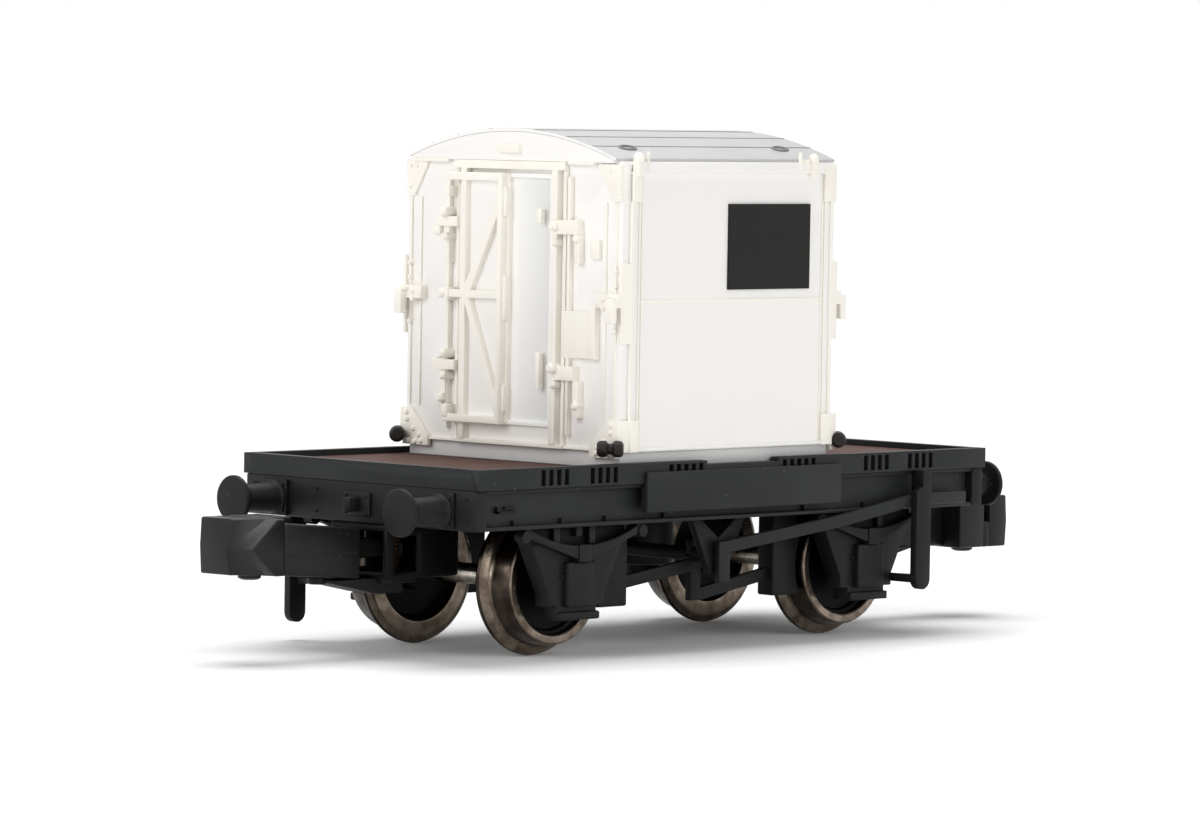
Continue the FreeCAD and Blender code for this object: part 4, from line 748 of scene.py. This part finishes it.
KNOBS = (
    # across, up, radius, beyond the wall
    (-4.0, 21.3, 0.26, 0.95), (-4.0, 20.1, 0.2, 0.8), (-4.0, 17.3, 0.26, 1.0), (-4.0, 14.3, 0.24, 0.9),
    (-4.0, 13.2, 0.2, 0.85), (-4.3, 12.1, 0.22, 0.7), (3.6, 20.8, 0.26, 0.8), (3.6, 20.0, 0.2, 0.7),
    (3.6, 13.9, 0.26, 0.85), (3.6, 13.1, 0.22, 0.7), (5.0, 20.2, 0.2, 0.6), (5.05, 12.1, 0.2, 0.6),
)
bm = bmesh.new()
for left, right, low, high, start, proud in HINGE_KNUCKLES:
    on_end(bm, (left, right), (low, high), proud, start)
for across, up, radius, proud in KNOBS:
    turn(bm, ((0.0, 0.0), (radius, 0.0), (radius, proud - 0.12), (radius * 0.6, proud), (0.0, proud)),
         (END_X, -across, up), (-1, 0, 0), steps=12)
soften(bm, 0.05)
piece_from(bm, "door_fittings", trim_ivory)

# %% [markdown]
# ## Plates and ledges
#
# Flat irons and mouldings run round the container: a plate in each upper
# corner, a label holder in the gable, ledges over the doors, upright lines
# beside each corner and a joint halfway up the sides. They are a few
# hundredths to a few tenths of a millimetre thick. Relief in a material would
# do for the thinnest, but real thickness also shows from the side.

# %% Gable, ledges and corner plates
REAR_X = 2 * halfway("container_base", "x") - END_X      # the rear wall, as far out as the door end
CONTAINER_WALLS = ((END_X, -1), (REAR_X, 1))
LABEL_HOLDER = ((-0.55, 0.95), (24.3, 24.72), 0.5)       # across, up, beyond the wall
LEDGES, LEDGE_HEIGHT, LEDGE_PROUD = ((-6.7, -4.2), (4.2, 6.0)), (23.78, 23.93), 0.32
CORNER_PLATE = ((7.5, 22.05), (7.5, 23.85), (6.05, 23.85), (6.05, 23.6), (6.95, 22.05))
PLATE_PROUD = 0.16
LINES, LINE_HEIGHTS, LINE_HALF, LINE_PROUD = (6.5, 7.2), ((11.6, 16.8), (17.7, 22.0)), 0.04, 0.1
SIDE_WALL = 7.55        # out from the container's middle line
CASTINGS, CASTING_HEIGHTS, CASTING_PROUD = ((-7.6, -7.0), (6.0, 6.7)), ((22.05, 23.9), (9.95, 11.5)), 0.2
SIDE_JOINT, SIDE_JOINT_HEIGHT, SIDE_JOINT_PROUD = (-7.1, 6.2), (17.15, 17.3), 0.04
STRIPS, STRIP_WIDE, STRIP_HEIGHT, STRIP_PROUD = (-7.05, -6.85, 5.9, 6.1), 0.06, (10.2, 23.4), 0.07
bm = bmesh.new()
on_end(bm, *LABEL_HOLDER)
for across in LEDGES:
    on_end(bm, across, LEDGE_HEIGHT, LEDGE_PROUD)
for face, way in CONTAINER_WALLS:
    for side in (-1, 1):
        plate(bm, [(side * y + BOX_SHIFT, z) for y, z in CORNER_PLATE], "X", face,
              face + way * PLATE_PROUD)
        for y in [side * out + BOX_SHIFT for out in LINES]:
            for height in LINE_HEIGHTS:
                block(bm, (face, face + way * LINE_PROUD), (y - LINE_HALF, y + LINE_HALF), height)
for side in (-1, 1):
    wall = side * SIDE_WALL + BOX_SHIFT
    for height in CASTING_HEIGHTS:
        for along in CASTINGS:
            block(bm, along, (wall, wall + side * CASTING_PROUD), height)
    block(bm, SIDE_JOINT, (wall, wall + side * SIDE_JOINT_PROUD), SIDE_JOINT_HEIGHT)
    for x in STRIPS:
        block(bm, (x, x + STRIP_WIDE), (wall, wall + side * STRIP_PROUD), STRIP_HEIGHT)
soften(bm, 0.04)
piece_from(bm, "corner_plates", trim_ivory)

# %% [markdown]
# ## Bolt heads
#
# Rows of rivets and bolts hold the corner irons on the full-size container,
# and the model shows each as a tiny dome. Eight sides are enough for a head of
# a quarter of a millimetre, and one spun profile serves for all: only the
# depth of the iron under it changes from group to group.

# %% Bolt heads
BOLT_GROUPS = (
    # beyond the wall, then (out from the middle line, up) of each head
    (0.38, ((6.95, 10.9), (6.5, 10.45), (6.1, 10.15), (5.95, 9.85), (6.4, 9.8), (6.85, 9.82),
            (7.0, 11.25))),
    (0.56, ((6.5, 17.3), (6.9, 17.45), (6.5, 16.9), (7.05, 17.1))),
    (0.26, ((7.0, 18.0), (7.0, 18.7), (7.0, 15.8), (7.05, 23.5), (6.6, 23.55), (7.05, 22.5))),
)
BOLT_RADIUS, DOME_RADIUS, DOME = 0.13, 0.08, 0.05
BOLT_OUT = 0.2      # the heads' places are measured from a wall this much further in
bm = bmesh.new()
for face, way in CONTAINER_WALLS:
    for side in (-1, 1):
        for proud, bolts in BOLT_GROUPS:
            head = ((0.0, 0.0), (BOLT_RADIUS, 0.0), (BOLT_RADIUS, proud - DOME), (DOME_RADIUS, proud),
                    (0.0, proud))
            for y, z in bolts:
                turn(bm, head, (face, side * (y + BOLT_OUT) + BOX_SHIFT, z), (way, 0, 0), steps=8)
piece_from(bm, "bolt_heads", trim_ivory)

# %% [markdown]
# ## Lifting eyes
#
# The container is lifted by four rods that end in eyes above the eaves. At
# this size the mould gives a post with a ball on it and two thin cheeks, so a
# block and a sphere say it well, and a real ring would be finer than the
# model's own.

# %% Lifting eyes
EYE_OUT = 7.73          # out from the container's middle line
POSTS = ((-7.27, 0.27), (5.1, 0.25))      # along the wagon, radius of the ball
POST_FOOT, POST_TOP, POST_HALF = 23.3, 24.2, 0.2
CHEEKS, CHEEK_HALF, CHEEK_Y, CHEEK_HEIGHT = (-6.6, 4.18), 0.06, (-0.05, 0.12), (23.5, 24.5)
STOP_X, STOP_Y, STOP_HEIGHT = (4.45, 4.75), (-0.1, 0.3), (23.9, 24.15)
bm = bmesh.new()
for side in (-1, 1):
    y = side * EYE_OUT + BOX_SHIFT
    for x, radius in POSTS:
        block(bm, (x - POST_HALF, x + POST_HALF), (y - POST_HALF, y + POST_HALF), (POST_FOOT, POST_TOP))
        ball = bmesh.ops.create_uvsphere(bm, u_segments=16, v_segments=10, radius=radius)["verts"]
        bmesh.ops.translate(bm, vec=(x, y, POST_TOP), verts=ball)
    for x in CHEEKS:
        block(bm, (x - CHEEK_HALF, x + CHEEK_HALF), [y + out for out in CHEEK_Y], CHEEK_HEIGHT)
    block(bm, STOP_X, [y + out for out in STOP_Y], STOP_HEIGHT)
soften(bm, 0.03)
piece_from(bm, "lifting_eyes", trim_ivory)

# %% [markdown]
# ## Frame details
#
# Under the deck the moulding is crowded with parts too small for the CAD
# model: spring hangers and their pins, keeps, bolts, ribs. They could be
# pressed into the plastic as a relief map, but seen from below or against the
# light they need an outline of their own. So they are laid on as small
# softened blocks and turned pins, and each group is a piece of its own.

# %% Spring hangers, pins and ribs
HANGERS = ((-1.7, 5.6), (-0.2, 6.0), (0.7, 5.6))      # from the axle, bottom
HANGER_TOP, HANGER_HALF = 6.5, 0.2
SPRING_INNER, SPRING_OUTER = 7.15, 7.5
EYE_PIN = ((0.0, -0.3), (0.3, -0.3), (0.3, 0.3), (0.0, 0.3))
PIN_OUT, PIN_Y, PIN_Z = 3.95, 7.45, 6.12
KEEP_BOLT = ((0.0, 0.0), (0.14, 0.0), (0.1, 0.12), (0.0, 0.12))
KEEP_OUT, KEEP_Y, KEEP_Z = 1.1, 7.2, 4.1
RIBS = (-15.4, -12.1, -9.4, -5.0, 5.0, 9.0, 12.0, 15.2)
RIB_HALF, RIB_HEIGHT = 0.07, (6.65, 6.95)
SOLE_FACE, SOLE_PROUD = 7.6, 7.85       # the solebar's outer face, and what stands out from it
bm = bmesh.new()
for side in (-1, 1):
    for _, axle in AXLES:
        for offset, low in HANGERS:
            x = axle - side * offset
            block(bm, (x - HANGER_HALF, x + HANGER_HALF), (side * SPRING_INNER, side * SPRING_OUTER),
                  (low, HANGER_TOP))
        for offset in (-PIN_OUT, PIN_OUT):
            turn(bm, EYE_PIN, (axle + offset, side * PIN_Y, PIN_Z), (0, 1, 0), steps=16)
        for offset in (-KEEP_OUT, KEEP_OUT):
            turn(bm, KEEP_BOLT, (axle + offset, side * KEEP_Y, KEEP_Z), (0, side, 0), steps=8)
    for x in RIBS:
        block(bm, (side * x - RIB_HALF, side * x + RIB_HALF), (side * SOLE_FACE, side * SOLE_PROUD),
              RIB_HEIGHT)
soften(bm, 0.05)
piece_from(bm, "frame_fittings", frame_grey)

# %% Label clips and headstock bolts
CLIP_X = 15.7
CLIP = (
    # along the wagon from the clip's middle, outer face, height
    ((-0.65, 0.65), SOLE_PROUD, (7.32, 7.42)),
    ((-0.65, -0.5), SOLE_PROUD, (7.32, 7.62)),
    ((-0.1, 0.65), 7.8, (7.52, 7.6)),
)
PLATE_BOLT = ((0.0, 0.0), (0.12, 0.0), (0.08, 0.1), (0.0, 0.1))
PLATE_BOLTS_AT = [(y, z) for y in (-0.7, 0.7) for z in (7.0, 7.8)]
PLATE_FACE = 18.22      # the drawhook plate's outer face
BEAM_BOLT = ((0.0, 0.0), (0.1, 0.0), (0.07, 0.07), (0.0, 0.07))
BEAM_BOLTS_AT = [(y, z) for y in (-3.0, 3.0, -7.5, 7.5) for z in (6.9, 8.0)]
bm = bmesh.new()
for side in (-1, 1):
    for along, face, height in CLIP:
        block(bm, [side * CLIP_X + x for x in along], (side * SOLE_FACE, side * face), height)
for way in (-1, 1):
    for y, z in PLATE_BOLTS_AT:
        turn(bm, PLATE_BOLT, (way * PLATE_FACE, y, z), (way, 0, 0), steps=8)
    for y, z in BEAM_BOLTS_AT:
        turn(bm, BEAM_BOLT, (way * HEADSTOCK_X, y, z), (way, 0, 0), steps=8)
piece_from(bm, "clips_and_bolts", frame_grey)

# %% [markdown]
# ## At the coupler pockets
#
# A moulded tongue under each pocket holds the coupler up, with a boss at its
# tip, and two small brass springs show through the pocket's window. A spring
# could be a helix swept along a curve, but this one is 0.5 mm thick and half
# hidden, so a stack of rings, turned from one wavy profile, looks the same.

# %% Keeper tongues and springs at the coupler pockets
TONGUE = ((20.7, 3.85), (20.7, 3.74), (17.6, 3.1), (16.0, 3.1), (16.0, 3.85))      # side view
TONGUE_HALF = 1.0
FOOT_X, FOOT_HALF, FOOT_HEIGHT = (15.4, 17.6), 1.3, (3.6, 3.9)
BOSS = ((0.0, -0.15), (0.4, -0.15), (0.48, -0.03), (0.48, 0.15), (0.0, 0.15))
BOSS_X, BOSS_Z = 20.65, 3.8
SPRING_X, SPRING_Y, SPRING_Z = 16.9, 1.4, 5.0
SPRING_HALF, RING_STEP = 0.75, 0.1
COIL = [(0.24 if step % 2 else 0.16, step * RING_STEP - SPRING_HALF) for step in range(16)]
coils = bmesh.new()
bm = bmesh.new()
for way in (-1, 1):
    plate(bm, [(way * x, z) for x, z in TONGUE], "Y", -TONGUE_HALF, TONGUE_HALF)
    block(bm, [way * x for x in FOOT_X], (-FOOT_HALF, FOOT_HALF), FOOT_HEIGHT)
    turn(bm, BOSS, (way * BOSS_X, 0, BOSS_Z), (0, 0, 1), steps=20)
    for side in (-1, 1):
        turn(coils, [(0.0, -SPRING_HALF)] + COIL + [(0.0, SPRING_HALF)],
             (way * SPRING_X, side * SPRING_Y, SPRING_Z), (0, 0, 1), steps=16)
soften(bm, 0.06)
piece_from(bm, "keeper_tongues", frame_grey)
piece_from(coils, "pocket_springs", spring_brass)

# %% [markdown]
# ## Roof
#
# The roof is a thin grey sheet laid in strips, and the white of the ends goes
# round its edges. The strips could be separate sheets, but on the model they
# are one moulding with fine raised joints, so the CAD sheet is softened and
# thin bars are laid on it, each turned to lie flat on the curve.

# %% Roof sheet
ROOF_THICK, ROOF_RISE = 0.15, 1.35
ROOF_START, ROOF_END = reach("container_roof", "x")
ROOF_HALF = reach("container_roof", "y")[1] - BOX_SHIFT
EAVES = reach("container_roof", "z")[0] + ROOF_THICK
ROOF_RADIUS = (ROOF_HALF ** 2 + ROOF_RISE ** 2) / (2 * ROOF_RISE)


def lay_on_roof(bm, made, x, y, above=0.0):
    """Tilt what was made at the origin to the roof's slope, and set it on the skin."""
    slope = Matrix.Rotation(-math.asin(y / ROOF_RADIUS), 3, "X")
    bmesh.ops.rotate(bm, cent=(0, 0, 0), matrix=slope, verts=made)
    skin = EAVES + ROOF_RISE - ROOF_RADIUS + math.sqrt(ROOF_RADIUS ** 2 - y * y)
    bmesh.ops.translate(bm, vec=(x, y + BOX_SHIFT, skin + above), verts=made)


roof = piece_from(soften(cad_copy("container_roof"), 0.03), "roof_sheet", roof_grey,
                  stands_for=("container_roof",))
second_finish(roof, wall_white, lambda centre, normal: abs(normal.x) > 0.5)

# %% Roof joints
JOINTS_Y = (-5.6, -3.8, -1.6, 1.6, 3.8, 5.6)
JOINT_HALF, JOINT_HIGH, JOINT_INSET = 0.035, 0.02, 0.05
bm = bmesh.new()
for y in JOINTS_Y:
    bar = block(bm, (ROOF_START + JOINT_INSET, ROOF_END - JOINT_INSET), (-JOINT_HALF, JOINT_HALF),
                (-JOINT_HIGH, JOINT_HIGH))
    lay_on_roof(bm, bar, 0, y)
piece_from(bm, "roof_joints", joint_grey)

# %% [markdown]
# ## Rings on the roof
#
# The lifting chains end in oval rings that lie flat near the walls. Blender's
# torus is made by an editor operator, not by bmesh, so a small circle is spun
# round the middle of the ring and the whole is then stretched a little.

# %% Roof rings
WIRE_RADIUS, RING_RADIUS, OVAL = 0.07, 0.36, (1.3, 0.8, 1)
RINGS_X, RINGS_Y = (-6.2, 4.6), (-5.9, 5.9)
upright = Matrix.Rotation(math.pi / 2, 3, "X")
bm = bmesh.new()
for y in RINGS_Y:
    for x in RINGS_X:
        wire = bmesh.ops.create_circle(bm, segments=8, radius=WIRE_RADIUS)["verts"]
        bmesh.ops.rotate(bm, cent=(0, 0, 0), matrix=upright, verts=wire)
        bmesh.ops.translate(bm, vec=(RING_RADIUS, 0, 0), verts=wire)
        loop = [e for e in bm.edges if e.verts[0] in wire and e.verts[1] in wire]
        bmesh.ops.spin(bm, geom=wire + loop, cent=(0, 0, 0), axis=(0, 0, 1), angle=2 * math.pi,
                       steps=20, use_merge=True, dvec=(0, 0, 0))
        ring = [v for v in bm.verts if v.co.z < 1]      # the others lie on the roof already
        bmesh.ops.scale(bm, vec=OVAL, verts=ring)
        lay_on_roof(bm, ring, x, y, above=0.03)
piece_from(bm, "roof_rings", joint_grey)

# %% [markdown]
# ## What stays as the CAD model made it
#
# The deck floor, the weight and the brake shaft end inside or against other
# parts, and the blank black panel is thin card with crisp edges. Softened
# copies of them would look no different, so they only get their finish.

# %% Finishes for the CAD nodes that stay
KEPT = {
    "deck_floor": deck_brown,
    "ballast_weight": weight_metal,
    "brake_shaft": frame_grey,
    "label_panel": panel_black,
}
for name, look in KEPT.items():
    nodes[name].data.materials.clear()
    nodes[name].data.materials.append(look)
print("kept CAD nodes:", sorted(KEPT))
